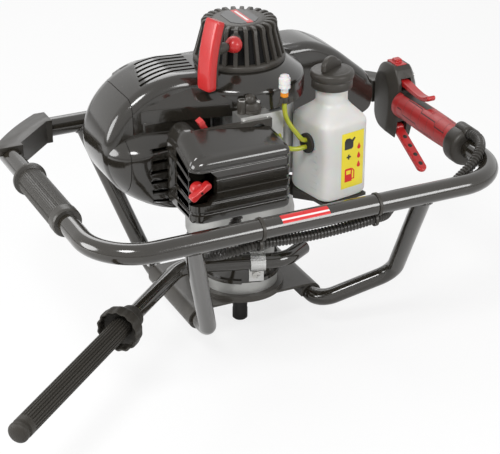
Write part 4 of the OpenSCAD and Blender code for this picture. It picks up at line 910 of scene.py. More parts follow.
@dataclass
class Studio:
    """Floor, lights and camera at the photograph's view."""

    camera_at: tuple[float, float, float] = (-0.8092, -1.7195, 1.0849)
    azimuth: float = -25.6
    elevation: float = 26.6
    lens: float = 118.8
    sensor: float = 36.0
    floor_z: float = -0.0015
    floor_half: float = 6.0
    floor_glow: float = 0.78
    ambient: float = 0.42
    lit_point: tuple[float, float, float] = (0.0, 0.0, 0.25)

    def build(self) -> None:
        """Places everything that isn't part of the object."""
        self.camera()
        self.floor()
        self.world()
        self.lamp("key", (-1.1, -1.2, 2.1), 0.8, 30)
        self.lamp("side", (-1.9, 0.3, 0.8), 1.1, 24)
        self.lamp("fill", (1.0, -2.0, 0.95), 0.9, 18)
        self.lamp("rim", (0.4, 1.6, 1.7), 1.2, 9)
        bpy.context.scene.view_settings.view_transform = "Standard"

    def camera(self) -> None:
        """Sets the camera at the photograph's place and angle."""
        data = bpy.data.cameras.new("view")
        data.sensor_fit = "HORIZONTAL"
        data.sensor_width = self.sensor
        data.lens = self.lens
        made = bpy.data.objects.new("view", data)
        made.location = self.camera_at
        made.rotation_euler = (math.radians(90 - self.elevation), 0, math.radians(self.azimuth))
        bpy.context.scene.collection.objects.link(made)
        bpy.context.scene.camera = made

    def floor(self) -> None:
        """Lays a pale floor that keeps the object's shadow."""
        bm = bmesh.new()
        bmesh.ops.create_grid(bm, x_segments=1, y_segments=1, size=self.floor_half)
        made = Workshop.piece("floor", bm)
        made.location.z = self.floor_z
        graph = Graph("floor_pale")
        graph.set(Base_Color=(0.9, 0.9, 0.9, 1), Roughness=0.9, Specular_IOR_Level=0.1)
        path = graph.node("ShaderNodeLightPath")
        seen = Field(graph, path.socket.node.outputs["Is Camera Ray"])
        white = graph.node("ShaderNodeEmission", inputs={"Color": (1, 1, 1, 1), "Strength": 1.0})
        lit = Field(graph, graph.shader.outputs[0])
        mixed = graph.node("ShaderNodeMixShader", inputs={0: seen * self.floor_glow, 1: lit, 2: white})
        graph.tree.links.new(mixed.socket, graph.tree.nodes["Material Output"].inputs["Surface"])
        made.data.materials.append(graph.material)

    def world(self) -> None:
        """Lights the scene evenly and shows white behind the object."""
        world = bpy.data.worlds.new("studio")
        bpy.context.scene.world = world
        world.use_nodes = True
        tree = world.node_tree
        back = tree.nodes["Background"]
        back.inputs["Color"].default_value = (1, 1, 1, 1)
        path = tree.nodes.new("ShaderNodeLightPath")
        level = tree.nodes.new("ShaderNodeMapRange")
        level.inputs["To Min"].default_value = self.ambient
        level.inputs["To Max"].default_value = 1.0
        rays = path.outputs["Is Camera Ray"]
        for kind in ("Is Glossy Ray", "Is Transmission Ray"):
            either = tree.nodes.new("ShaderNodeMath")
            either.operation = "MAXIMUM"
            tree.links.new(rays, either.inputs[0])
            tree.links.new(path.outputs[kind], either.inputs[1])
            rays = either.outputs[0]
        tree.links.new(rays, level.inputs["Value"])
        tree.links.new(level.outputs["Result"], back.inputs["Strength"])

    def lamp(self, name: str, at: Point, size: float, power: float) -> None:
        """Hangs a soft area lamp that faces the engine.

        Args:
            name: Name of the lamp.
            at: Its place in metres.
            size: Its width in metres.
            power: Its power in watts.
        """
        data = bpy.data.lights.new(name, "AREA")
        data.shape = "DISK"
        data.size = size
        data.energy = power
        made = bpy.data.objects.new(name, data)
        made.location = at
        made.rotation_euler = (Vector(self.lit_point) - Vector(at)).to_track_quat("-Z", "Y").to_euler()
        bpy.context.scene.collection.objects.link(made)


def resample(path: Sequence[Vector], gap: float) -> list[Vector]:
    """Spreads points evenly along a path.

    Args:
        path: Points of the path.
        gap: Distance wanted between points.

    Returns:
        The even points, both ends included.
    """
    lengths = [(b - a).length for a, b in zip(path, path[1:])]
    total = sum(lengths)
    count = max(2, round(total / gap))
    even, i, passed = [], 0, 0.0
    for k in range(count + 1):
        goal = total * k / count
        while i < len(lengths) - 1 and passed + lengths[i] < goal:
            passed += lengths[i]
            i += 1
        even.append(path[i].lerp(path[i + 1], min(1.0, (goal - passed) / lengths[i])))
    return even


def carve(made: bpy.types.Object, cutters: Sequence[bpy.types.Object], sharp: float = SHARP) -> None:
    """Cuts pieces out of another one and deletes them.

    Args:
        made: Piece that is cut.
        cutters: Pieces that leave their shape in it.
        sharp: Angle in degrees above which an edge stays sharp.
    """
    for cutter in cutters:
        cut = made.modifiers.new("cut", "BOOLEAN")
        cut.operation = "DIFFERENCE"
        cut.solver = "EXACT"
        cut.object = cutter
    bpy.context.view_layer.update()
    done = made.evaluated_get(bpy.context.evaluated_depsgraph_get())
    mesh = bpy.data.meshes.new_from_object(done)
    made.modifiers.clear()
    made.data = mesh
    shade(mesh, sharp)
    for cutter in cutters:
        bpy.data.objects.remove(cutter)


@dataclass
class CarryingFrame:
    """Handle loop, rear bar, legs, corner brackets, left grip, plate and ties."""

    tube_r: float = 12.5
    leg_r: float = 11.0
    level: float = 240.0
    side: float = 265.0
    front: float = 208.0
    rear: float = 177.0
    socket: float = 129.0
    bar_end: float = 217.0
    corner: float = 65.0
    foot_x: float = 80.0
    foot_y: float = 112.0
    foot_z: float = 42.0
    leg_top: float = 146.0

    def build(self) -> None:
        """Makes every piece of the frame."""
        w, f, s, z = self.side, self.front, self.socket, self.level
        loop = Workshop.bend([(-w, s, z), (-w, -f, z), (w, -f, z), (w, s, z)], [self.corner, self.corner], 3)
        dress(Workshop.tube("loop_tube", loop, self.tube_r, 40), FRAME_PAINT, Body.FRAME, "handle_loop")
        bar = [Vector((-self.bar_end, self.rear, z)), Vector((self.bar_end, self.rear, z))]
        dress(Workshop.tube("rear_tube", bar, self.tube_r, 40), FRAME_PAINT, Body.FRAME, "rear_bar")
        x, y, low, top = self.foot_x, self.foot_y, self.foot_z, self.leg_top
        left = [(-157, -f, z), (-x, -76, low), (-x, y, low), (-top, self.rear, z)]
        right = [(top, -f, z), (170, -104, 80), (x, -72, low), (x, y, low), (top, self.rear, z)]
        self.leg("left_leg", left, [26, 34])
        self.leg("right_leg", right, [30, 30, 34])
        self.brackets()
        dress(Workshop.soften("base_plate", 0.8, 2), PLATE_PAINT)
        dress(Workshop.soften("cable_ties", 0.4, 2), HANDLE_BLACK)
        self.grip()
        self.band()

    def brackets(self) -> None:
        """Rounds the corner brackets and cuts their outer front open, where the loop's ends show."""
        made = Workshop.soften("corner_brackets", 5.0, 4)
        inner, outer = self.side - 2, self.side + 40
        cutters = []
        for word, low, high in (("left", -outer, -inner), ("right", inner, outer)):
            near, far = (low, self.socket - 30, 200), (high, self.socket + 7, self.level + 5)
            cutters.append(Workshop.block(f"bracket_cut_{word}", near, far, 1.0))
        carve(made, cutters)
        dress(made, BRACKET_BLACK)

    def leg(self, name: str, points: Sequence[Point], radii: Sequence[float]) -> None:
        """Bends one leg and lays a weld bead at each of its ends.

        Args:
            name: Node that the leg stands for.
            points: Corners of the leg.
            radii: Bend radius at each inner corner.
        """
        path = Workshop.bend(points, radii, 3)
        short = 5.0
        for i, j in ((0, 1), (-1, -2)):
            path[i] = path[i] + (path[j] - path[i]).normalized() * short
        dress(Workshop.tube(f"{name}_tube", path, self.leg_r, 36), FRAME_PAINT, Body.FRAME, name)
        self.weld(f"{name}_front_weld", Vector(points[0]), Vector(points[1]))
        self.weld(f"{name}_rear_weld", Vector(points[-1]), Vector(points[-2]))

    def weld(self, name: str, top: Vector, low: Vector) -> None:
        """Runs a rippled bead round the line where a leg meets a bar.

        Args:
            name: Name of the bead.
            top: Leg's end on the bar's axis.
            low: Next corner of the leg.
        """
        along = (low - top).normalized()
        u = along.orthogonal().normalized()
        v = along.cross(u)
        flat = Vector((0, 1, 1))
        bead = []
        count, bead_r, swell, pitch = 72, 2.0, 0.35, 1.9
        for i in range(count + 1):
            a = math.tau * i / count
            out = (u * math.cos(a) + v * math.sin(a)) * self.leg_r
            d, o = along * flat, out * flat
            reach = d.dot(d)
            half = o.dot(d) / reach
            root = half * half - (o.dot(o) - self.tube_r**2) / reach
            bead.append(top + out + along * (-half + math.sqrt(max(root, 0.0))))

        def ripple(i: int, _a: float) -> float:
            """Bead's radius at one of its points."""
            return bead_r + swell * math.sin(i * pitch)

        dress(Workshop.tube(name, bead, ripple, 10, 60), FRAME_PAINT)

    def grip(self) -> None:
        """Moulds the left rubber grip with fine ribs and grooves, a rear flange and a front ring."""
        rear, length, step, ribs, grooves = 38.0, 138.0, 1.5, 48, 6
        flange, rib_start, rib_end, ring, ring_edge = 7.0, 12.0, 120.0, 123.0, 134.0
        flange_r, core_r, ring_r, groove_r, valley_r, rib_height = 21.0, 16.2, 18.4, 15.8, 16.3, 1.2
        path = [Vector((-self.side, rear - i * step, self.level)) for i in range(int(length / step) + 1)]

        def radius(i: int, a: float) -> float:
            """Grip's radius at a step along it and an angle round it.

            Args:
                i: Number of the step.
                a: Angle round the grip.

            Returns:
                The radius.
            """
            s = i * step
            if s <= flange:
                return flange_r - 1.2 * (abs(s - flange / 2) / (flange / 2)) ** 4
            if s < rib_start or rib_end < s < ring:
                return core_r
            if s >= ring:
                return ring_r - 1.5 * max(0.0, (s - ring_edge) / (length - ring_edge)) ** 2
            turn = a / math.tau + 0.001
            crest = abs(turn * ribs % 1.0 - 0.5) * 2
            return groove_r if turn * grooves % 1.0 < 0.13 else valley_r + rib_height * crest

        made = Workshop.tube("left_grip_ribs", path, radius, 3 * ribs, 30)
        dress(made, RIBBED_RUBBER, Body.FRAME, "left_grip")

    def band(self) -> None:
        """Lays a red band with a pale line on the upper front of the bar."""
        left, right, first, sweep, steps = -48.8, 12.5, 96, 53, 24
        turns = [first + sweep * k / steps for k in range(steps + 1)]
        edge = arc((-self.front, self.level), self.tube_r + 0.15, turns)
        rows = [[Vector((x + k / steps, y, z)) for k, (y, z) in enumerate(edge)] for x in (left, right)]
        dress(Workshop.sheet("front_band", rows), BAND_RED)


@dataclass
class ThrottleHandle:
    """Right-hand housing, red grip, trigger, lever, switch, end cap and cable conduit."""

    bar_x: float = 265.0
    level: float = 240.0
    front: float = 46.0
    grip_len: float = 138.0
    grip_r: float = 18.5
    dip: float = 254.4
    dip_end: float = -22.0
    split: float = 269.0
    left_face: float = 247.0
    right_face: float = 289.8
    rear: float = 102.5
    low: float = 190.0
    top: float = 290.0
    corner: float = 26.0
    conduit_z: float = 260.0
    crease: float = 28.0

    def build(self) -> None:
        """Makes every piece of the throttle handle."""
        self.housing("left", self.split, self.left_face)
        self.housing("right", self.split + 0.1, self.right_face)
        self.end_cap()
        self.lever()
        dress(Workshop.soften("stop_switch", 1.2, 3), RED, Body.SWITCH)
        self.grip()
        self.trigger()
        self.screws()
        self.conduit()

    def outline(self, inset: float) -> list[Point]:
        """Side view of the housing drawn in by an inset, as (y, z) pairs.

        Args:
            inset: Distance that the view is drawn in.

        Returns:
            Points round the view.
        """
        y0, y1, z0, z1 = self.front + inset, self.rear - inset, self.low + inset, self.top - inset
        r = self.corner - inset * 0.6
        nose = [(y0 + 6, z0), (y0 + 2.4, z0 + 12), (y0, z0 + 30), (y0, z1 - 24), (y0 + 2, z1 - 17),
                (y0 + 9, z1 - 5), (y0 + 14, z1)]
        top = arc((y1 - r, z1 - r), r, range(90, -1, -9))
        low = arc((y1 - r, z0 + r), r, range(0, -91, -9))
        return nose + top + low

    def housing(self, word: str, split: float, end: float) -> None:
        """Skins one half of the housing with a facet round its outer face and carves its slots.

        Args:
            word: Side of the half, left or right.
            split: Place of the parting line.
            end: Place of the outer face.
        """
        way = math.copysign(1.0, end - split)
        facet = ((10.4, 0.0), (9.4, 0.4), (8.6, 1.2), (1.2, 8.6), (0.4, 9.6), (0.0, 10.8))
        steps = [(split, 0.0)] + [(end - way * back, inset) for back, inset in facet]
        rings = [[Vector((x, y, z)) for y, z in self.outline(inset)] for x, inset in steps]
        made = Workshop.rings(f"housing_{word}", rings, self.crease)
        low = Workshop.block(f"trigger_slot_{word}", (257.5, 40, 180), (272.5, 70, 215), 0.4)
        mid = Workshop.block(f"lever_slot_{word}", (261.5, 40, 259), (276.5, 66, 275), 0.4)
        top = Workshop.block(f"switch_slot_{word}", (260.5, 60, 284), (277.5, 96, 300), 0.4)
        carve(made, [low, mid, top], self.crease)
        dress(made, HANDLE_BLACK, Body.FRAME, f"throttle_housing_{word}")

    def end_cap(self) -> None:
        """Turns the round end cap and the sleeve on it that takes the conduit."""
        back = self.front - self.grip_len
        cap = [(13, 0.2), (21, 0.2), (23.6, 1), (24.7, 3), (25, 6), (25, 19), (24.2, 22.4), (22, 24.8),
               (19, 26), (13, 26)]
        made = Workshop.lathe("grip_end", cap, (self.bar_x, back, self.level), (0, -1, 0), 72)
        dress(made, HANDLE_BLACK, Body.FRAME, "throttle_end_cap")
        sleeve = [(0, 1), (6.4, 1), (8.4, 2.4), (9, 5), (9, 22), (8.4, 24.6), (7.2, 26), (6.4, 26)]
        high = self.conduit_z
        made = Workshop.lathe("conduit_sleeve", sleeve, (self.bar_x, back, high), (0, -1, 0), 48)
        dress(made, HANDLE_BLACK)
        web = ((-15, high - 10), (-8.6, high), (8.6, high), (15, high - 10))
        saddle = [Vector((self.bar_x + x, back - 2, z)) for x, z in web]
        dress(Workshop.prism("conduit_saddle", saddle, Vector((0, -22, 0)), 2.0), HANDLE_BLACK)

    def grip(self) -> None:
        """Turns the red sleeve with a slight barrel and a collar at its inner end, carves the lever's recess
        and lays a black block in it as painted shade under the lever.
        """
        count, collar, barrel = 60, 3, 1.4
        start, long = self.front - 0.2, self.grip_len - 0.4
        path = [Vector((self.bar_x, start - long * i / count, self.level)) for i in range(count + 1)]

        def radius(i: int, _a: float) -> float:
            """Sleeve's radius along its length."""
            return self.grip_r - barrel * (2 * i / count - 1) ** 2 if i > collar else self.grip_r

        made = Workshop.tube("throttle_sleeve", path, radius, 72, 60)
        near, far = (260, self.dip_end, self.dip), (282, self.front + 4, self.dip + 20)
        carve(made, [Workshop.block("lever_recess", near, far, 0.5)], 60)
        dress(made, RED_GRIP, Body.FRAME, "throttle_grip")
        # Black block on the recess floor: painted shade under the lever.
        near, far = (261, self.dip_end + 1.5, self.dip - 3), (275, self.front - 0.3, self.dip + 0.4)
        dress(Workshop.block("lever_recess_shade", near, far, 0.8), HANDLE_BLACK)

    def lever(self) -> None:
        """Bends the lock lever down over the grip and up again at its tip."""
        top = [(56, 272.6), (40, 271.4), (25, 268.6), (10, 266.8), (-1, 267.2), (-9, 269.6), (-16, 273.8)]
        low = [(-18.4, 270), (-16.6, 266.4), (-9, 263.6), (0, 261.8), (12, 261.4), (28, 262.6), (42, 264.4),
               (56, 264.2)]
        left, wide = 262.6, 12.8
        outline = [Vector((left, y, z)) for y, z in top + low]
        made = Workshop.prism("lever_blade", outline, Vector((wide, 0, 0)), 1.6, 4)
        dress(made, RED, Body.LEVER, "lock_lever")

    def trigger(self) -> None:
        """Shapes the trigger with a round tip and sets soft black dots into both faces."""
        droop = math.radians(27)
        pivot = Vector((self.bar_x, 58, 202))
        back = Vector((0, -math.cos(droop), -math.sin(droop)))
        out = Vector((0, math.sin(droop), -math.cos(droop)))
        wide, long, thick, dots, dot_gap = 7.0, 80.0, 7.0, 4, 16
        plan = [(wide, 0.0), *arc((0, long - wide), wide, range(0, 181, 12)), (-wide, 0.0)]
        outline = [pivot + Vector((x, 0, 0)) + back * y - out * thick / 2 for x, y in plan]
        made = Workshop.prism("trigger_blade", outline, out * thick, 2.4, 5)
        dress(made, RED, Body.TRIGGER, "throttle_trigger")
        hub = [(0, -6.9), (5.6, -6.9), (6, -6.4), (6, 6.4), (5.6, 6.9), (0, 6.9)]
        dress(Workshop.lathe("trigger_hub", hub, pivot, (1, 0, 0), 36), RED, Body.TRIGGER)
        dot = [(3.1, 0), (3.1, 0.7), (2.5, 1.2), (0, 1.4)]
        for i in range(1, dots + 1):
            for face, word in ((1, "low"), (-1, "high")):
                at = pivot + back * (i * dot_gap + 5) + out * face * (thick / 2 - 0.5)
                made = Workshop.lathe(f"trigger_dot_{word}_{i}", dot, at, out * face, 24)
                dress(made, RUBBER, Body.TRIGGER)

    def screws(self) -> None:
        """Closes the housing with screws on its outer face."""
        for i, (y, z) in enumerate(((62, 224), (85, 210), (85, 266), (66, 271))):
            hex_screw(f"housing_screw_{i}", (self.right_face - 0.4, y, z), (1, 0, 0), 3.4, 1.6)

    def conduit(self) -> None:
        """Sweeps the corrugated conduit from the end cap to the carburettor."""
        points = [(265, -118.2, 260), (265, -138, 261.5), (253, -160, 259.5), (236, -173, 249.5),
                  (214, -180, 238), (191, -186, 229), (168, -178, 222), (148, -166, 217), (126, -170, 213),
                  (110, -184, 214), (98, -196, 216.5), (80, -204, 219.5), (50, -206, 218), (10, -206, 216.5),
                  (-30, -206, 217.5), (-72, -204, 219.5), (-100, -200, 214.5), (-116, -187, 207),
                  (-118, -166, 197), (-110, -142, 187), (-88, -120, 183), (-60, -104, 191), (-40, -92, 213),
                  (-30, -87, 243), (-28, -86, 270), (-28, -86, 295.9)]
        route = resample(Workshop.spline(points, 16), 1.1)
        rib_r, valley_r = 6.5, 4.9

        def radius(i: int, _a: float) -> float:
            """Conduit's radius, two points on a rib and two in a valley."""
            return (rib_r, rib_r, valley_r, valley_r)[i % 4]

        made = Workshop.tube("conduit_ribs", route, radius, 20, 30)
        dress(made, CONDUIT_BLACK, Body.FRAME, "cable_conduit")


@dataclass
class SupportArm:
    """Side support bar with its grip, hand guard, clamp and screws."""

    bar_r: float = 10.0
    level: float = 113.0
    tip: tuple[float, float] = (-404.0, -304.0)
    elbow: tuple[float, float] = (-96.0, -30.5)
    grip_len: float = 250.0
    grip_r: float = 12.4

    def build(self) -> None:
        """Makes every piece of the support arm."""
        z = self.level
        tip, elbow = Vector((*self.tip, z)), Vector((*self.elbow, z))
        out = (tip - elbow).normalized()
        path = Workshop.bend([(66, -50, z), (30, -71.5, z), elbow, tip - out * 6], [40, 42], 3)
        dress(Workshop.tube("support_tube", path, self.bar_r, 32), FRAME_PAINT, Body.FRAME, "support_bar")
        self.grip(tip - out * self.grip_len, out)
        self.guard(tip - out * (self.grip_len + 26), out)
        dress(Workshop.soften("bar_clamp", 0.8, 2), ZINC)
        dress(Workshop.soften("machine_screws", 0.3, 2), ZINC)

    def grip(self, start: Vector, out: Vector) -> None:
        """Moulds the long fluted grip with notched ribs and a closed end.

        Args:
            start: Inner end of the grip.
            out: Way that the grip points.
        """
        count, lanes, notch_gap, collar = 250, 22, 5.0, 6.0
        flutes_end, groove, groove_end, tip = 228.0, 236.0, 242.0, 244.0
        path = [start + out * (self.grip_len * i / count) for i in range(count + 1)]

        def radius(i: int, a: float) -> float:
            """Grip's radius at a step along it and an angle round it.

            Args:
                i: Number of the step.
                a: Angle round the grip.

            Returns:
                The radius.
            """
            s = self.grip_len * i / count
            if s > tip:
                return self.grip_r * math.sqrt(max(0.05, 1 - ((s - tip) / 6.2) ** 2))
            if groove < s < groove_end:
                return self.grip_r - 2.0
            if s < collar or s >= flutes_end:
                return self.grip_r
            lane = (a / math.tau * lanes) % 1.0
            notch = (s % notch_gap) < 1.0
            return self.grip_r - (1.2 if lane < 0.3 else 0.45 if notch else 0.0)

        made = Workshop.tube("support_grip_ribs", path, radius, 6 * lanes, 30)
        dress(made, RUBBER, Body.FRAME, "support_grip")

    def guard(self, start: Vector, out: Vector) -> None:
        """Turns the funnel guard with a rolled rim.

        Args:
            start: Inner end of the guard's collar.
            out: Way that the guard opens.
        """
        profile = [(10.2, 0), (13.2, 0), (14.4, 0.8), (15, 2), (15, 17), (15.6, 18.6), (22.5, 22.6),
                   (25, 24.6), (26.4, 27), (27, 30), (27, 40), (26.6, 41.6), (25.5, 42), (24.4, 41.4),
                   (24, 40), (24, 32), (23, 29.5), (14.5, 26.1), (10.2, 25.8)]
        waves, depth, flat_end, fade_len = 14, 1.6, 22, 14
        made = Workshop.lathe("guard_funnel", profile, start, out, 144)
        side = out.cross(Vector((0, 0, 1))).normalized()
        for vertex in made.data.vertices:
            local = vertex.co / MM - start
            along = local.dot(out)
            away = local - out * along
            turn = math.atan2(away.z, away.dot(side))
            wave = 0.5 + 0.5 * math.cos(waves * turn)
            vertex.co -= away.normalized() * MM * depth * wave * fraction((along - flat_end) / fade_len)
        dress(made, RUBBER, Body.FRAME, "hand_guard")


@dataclass
class GearCase:
    """Gear case halves, clutch housing, shafts and gears."""

    lobe_y: float = 52.5
    roof: float = 98.1
    screw_circle: float = 41.0

    def build(self) -> None:
        """Dresses the gear case and what turns in it."""
        dress(Workshop.soften("gear_case_lower", 1.2, 3), ALLOY)
        dress(Workshop.soften("gear_case_upper", 1.2, 3), FRAME_PAINT)
        dress(Workshop.soften("clutch_housing", 1.5, 3, 25), ALLOY)
        dress(Workshop.soften("output_shaft", 0.4, 2), STEEL, Body.OUTPUT)
        for node in ("output_gear", "layshaft", "clutch_drum", "bearings"):
            paint_node(node, GEAR_STEEL)
        paint_node("clutch_shoes", LINING)
        for i, turn in enumerate((20, 60, 105, 150)):
            a, r = math.radians(turn), self.screw_circle
            at = (r * math.cos(a), self.lobe_y + r * math.sin(a), self.roof)
            hex_screw(f"case_screw_{i}", at, (0, 0, 1), 4.2, 3.6)


@dataclass
class Engine:
    """Crankcase, cylinder, cowl, fan housing, muffler and its guard."""

    cowl_reach: float = 195.0
    cowl_front: float = -46.0
    cowl_rear: float = 58.0
    cowl_low: float = 205.0
    cowl_top: float = 372.0
    cowl_mid: float = 283.0
    cowl_turn: float = -96.0
    fan_r: float = 80.0
    seam: float = -160.0
    bulge_seam: float = -171.0
    shelf: float = 322.0
    bulge_front: float = -72.0
    bulge_right: float = -80.0
    bulge_roof: float = 316.0
    louvres: int = 7
    vents: int = 6
    guard_slots: int = 6
    crease: float = 50.0

    def build(self) -> None:
        """Makes and dresses every piece of the engine."""
        dress(Workshop.soften("crankcase", 1.2, 2), ALLOY)
        self.guard()
        paint_node("muffler", EXHAUST)
        for node in ("crankshaft", "connecting_rod"):
            paint_node(node, GEAR_STEEL)
        for node in ("piston", "cylinder", "flywheel"):
            paint_node(node, ALLOY)
        paint_node("spark_plug", CERAMIC)
        paint_node("ignition_coil", HANDLE_BLACK)
        self.fan()
        self.cowl()

    def guard(self) -> None:
        """Skins the muffler guard, rounds its edges over and carves the slots in its rear."""
        plan = [(84, 350), (128, 350), (162, 334), (214, 290), (220, 266), (215, 244), (203, 236),
                (84, 241.5)]
        radii = [2, 26, 26, 20, 18, 10, 10, 2]
        corners = [Vector((x, 0, z)) for x, z in plan]
        edge = []
        for i, (here, r) in enumerate(zip(corners, radii)):
            before = corners[i - 1] - here
            after = corners[(i + 1) % len(corners)] - here
            reach = min(r * 0.6, before.length * 0.45, after.length * 0.45)
            a, b = here + before.normalized() * reach, here + after.normalized() * reach
            edge += [a.lerp(here, t).lerp(here.lerp(b, t), t) for t in (0, 0.25, 0.5, 0.75, 1)]
        count = len(edge)
        normals = []
        for i in range(count):
            along = (edge[(i + 1) % count] - edge[i - 1]).normalized()
            normals.append(Vector((-along.z, 0, along.x)))
        rings = []
        for inset, y in self.rounded(44, 116, 13, 15):
            ring = []
            for point, out in zip(edge, normals):
                part = 0.9 if out.z > 0.3 else 0.35 if out.x > -0.5 else 0.0
                moved = point - out * inset * part
                ring.append(Vector((moved.x, y, moved.z)))
            rings.append(ring)
        made = Workshop.rings("guard_shell", rings, self.crease)
        slots = []
        for i in range(self.guard_slots):
            x = 110 + 14 * i
            slots.append(Workshop.block(f"guard_slot_{i}", (x, 111, 256), (x + 6, 122, 300), 1.5))
        carve(made, slots, self.crease)
        dress(made, COWL_GLOSS, Body.FRAME, "muffler_guard")

    def fan(self) -> None:
        """Turns the fan housing with soft shoulders."""
        r = self.fan_r
        profile = [(56, 325), (r - 1, 325), (r, 326), (r, 346), (r - 0.4, 349), (r - 1.6, 351.6),
                   (r - 3.6, 353.4), (60, 364.6), (57, 366), (44, 366)]
        made = Workshop.lathe("fan_cover", profile, steps=128, sharp=30)
        dress(made, COWL_GLOSS, Body.FRAME, "fan_housing")

    def outline(self, inset: float, y: float) -> list[Vector]:
        """Section of the cowl at one depth.

        Args:
            inset: Distance that the section is drawn in.
            y: Depth of the section.

        Returns:
            Points round the section.
        """
        x0, z0, z1 = -self.cowl_reach + inset, self.cowl_low + inset, self.cowl_top - inset
        c, mid = self.cowl_turn, self.cowl_mid
        low_r, high_r, widest = self.fan_r - 4.4, 57.4, 50.0
        low_edge = -math.sqrt(low_r**2 - y * y)
        high_edge = -math.sqrt(high_r**2 - min(abs(y), widest) ** 2)
        points = [(low_edge, z0), (c, z0)]
        points += arc((c, mid), c - x0, range(265, 184, -5), mid - z0)
        points += arc((c, mid), c - x0, range(180, 89, -5), z1 - mid)
        points += [(high_edge, z1 - 4), (high_edge, self.shelf), (low_edge, self.shelf)]
        return [Vector((x, y, z)) for x, z in points]

    @staticmethod
    def rounded(low: float, high: float, near: float, far: float) -> list[tuple[float, float]]:
        """Depths and insets of sections that round a cover at both ends.

        Args:
            low: Depth of the front end.
            high: Depth of the rear end.
            near: Rounding at the front.
            far: Rounding at the rear.

        Returns:
            Pairs of inset and depth.
        """
        steps = [math.radians(15 * k) for k in range(7)]
        front = [(near * (1 - math.sin(a)), low + near * (1 - math.cos(a))) for a in steps]
        back = [(far * (1 - math.sin(a)), high - far * (1 - math.cos(a))) for a in reversed(steps)]
        return front + back

    def cowl(self) -> None:
        """Skins the cowl, carves its louvres and parts its end cap from it."""
        rings = [self.outline(i, y) for i, y in self.rounded(self.cowl_front, self.cowl_rear, 15, 30)]
        body = Workshop.rings("cowl_body", rings, self.crease)
        slots = []
        wide, low, tall = 5, 335, 55
        for i in range(self.louvres):
            left, right = (-142 + 3 * i, -29 + 11 * i), (-68 + i, -22 + 10.6 * i)
            plan = (left, right, (right[0], right[1] + wide), (left[0], left[1] + wide))
            outline = [Vector((x, y, low)) for x, y in plan]
            slots.append(Workshop.prism(f"louvre_{i}", outline, Vector((0, 0, tall))))
        carve(body, slots, self.crease)
        cap = self.part(body, "cowl_cap", self.seam)
        dress(body, COWL_GLOSS, Body.FRAME, "engine_cowl")
        dress(cap, COWL_GLOSS, Body.FRAME, "cowl_end_cap")
        self.bulge()
        self.flare()

    @staticmethod
    def part(right: bpy.types.Object, name: str, seam: float) -> bpy.types.Object:
        """Cuts a skin in two at the cap's seam and closes both halves.

        Args:
            right: Skin that keeps what lies right of the seam.
            name: Name of the half that lies left of it.
            seam: Place of the seam along x.

        Returns:
            The left half.
        """
        left = bpy.data.objects.new(name, right.data.copy())
        bpy.context.scene.collection.objects.link(left)
        half_gap = 0.0003
        for made, keep in ((right, 1), (left, -1)):
            bm = bmesh.new()
            bm.from_mesh(made.data)
            at, out = Vector((seam * MM + keep * half_gap, 0, 0)), Vector((-keep, 0, 0))
            whole = bm.verts[:] + bm.edges[:] + bm.faces[:]
            cut = bmesh.ops.bisect_plane(bm, geom=whole, plane_co=at, plane_no=out, clear_outer=True)
            edges = [e for e in cut["geom_cut"] if isinstance(e, bmesh.types.BMEdge)]
            for e in edges:
                e.smooth = False
            bmesh.ops.contextual_create(bm, geom=edges)
            bm.to_mesh(made.data)
            bm.free()
        return left

    def flare(self) -> None:
        """Skins the shoulder that spreads from the cowl's front to the fan housing."""
        rings = []
        steps, left, long, half, r = 22, -149.5, 109.5, 99, 9
        rise, fan_top, fan_edge = self.cowl_top - self.cowl_mid, 366.0, 346.0
        for k in range(steps + 1):
            t = k / steps
            x = left + long * t
            front, rear = self.cowl_front - 0.2 - 23.1 * t, self.cowl_rear + 11.3 * t
            roof = self.cowl_mid + rise * math.sqrt(1 - fraction((self.cowl_turn - x) / half) ** 2)
            high, low = min(fan_top, roof - 3), min(fan_edge, roof - 14)
            ease = arc((front + r, low - r), r, range(180, 119, -12))
            back = arc((rear - r, low - r), r, range(60, -1, -12))
            section = [(front, self.shelf), *ease, (-38, high), (44, high), *back, (rear, self.shelf)]
            rings.append([Vector((x, y, z)) for y, z in section])
        dress(Workshop.rings("cowl_flare", rings, self.crease), COWL_GLOSS)
        apron = [(-148, -48), (-110, -52), (-74, -56), (-70, -40), (-148, -40)]
        outline = [Vector((x, y, 298)) for x, y in apron]
        dress(Workshop.prism("cowl_apron", outline, Vector((0, 0, 26)), 4.0, 4), COWL_GLOSS)

    def bulge(self) -> None:
        """Skins the bulge that wraps the cowl's lower front and left end, and carves its side vents."""
        c, mid, low = self.cowl_turn, self.cowl_mid, self.cowl_low
        right, roof = self.bulge_right, self.bulge_roof
        brow_x, brow_r, deep, steps = -139.5, 55.5, 50, 10
        lean = [(right, low), (c, low)]
        lean += arc((c, mid), self.cowl_reach + c, range(265, 179, -5), mid - low)
        lean += arc((brow_x, mid), brow_r, [180 - 7.5 * i for i in range(1, 13)], roof - mid)
        lean += [(-118, roof), (right, roof - 4)]
        rings = []
        for k in range(steps + 1):
            a = math.radians(90 * k / steps)
            inset, y = 1 - math.sin(a), self.bulge_front + deep * (1 - math.cos(a))
            ring = []
            for x, z in lean:
                side = fraction((x - right) / (right + self.cowl_reach) * -1.15)
                over, under = max(0.0, (z - mid) / (roof - mid)), max(0.0, (mid - z) / (mid - low))
                up = 34 * over**2 - 14 * under**2
                ring.append(Vector((x + 46 * inset * side * side, y, z - up * inset)))
            rings.append(ring)
        made = Workshop.rings("cowl_bulge", rings, self.crease)
        slots = []
        for i in range(self.vents):
            z = 227 + 13 * i
            near, far = (-150 + abs(i - 2.5) * 2, -90, z), (-118, -58, z + 5)
            slots.append(Workshop.block(f"vent_{i}", near, far, 1.5))
        carve(made, slots, self.crease)
        cap = self.part(made, "cap_bulge", self.bulge_seam)
        dress(made, COWL_GLOSS)
        dress(cap, COWL_GLOSS)


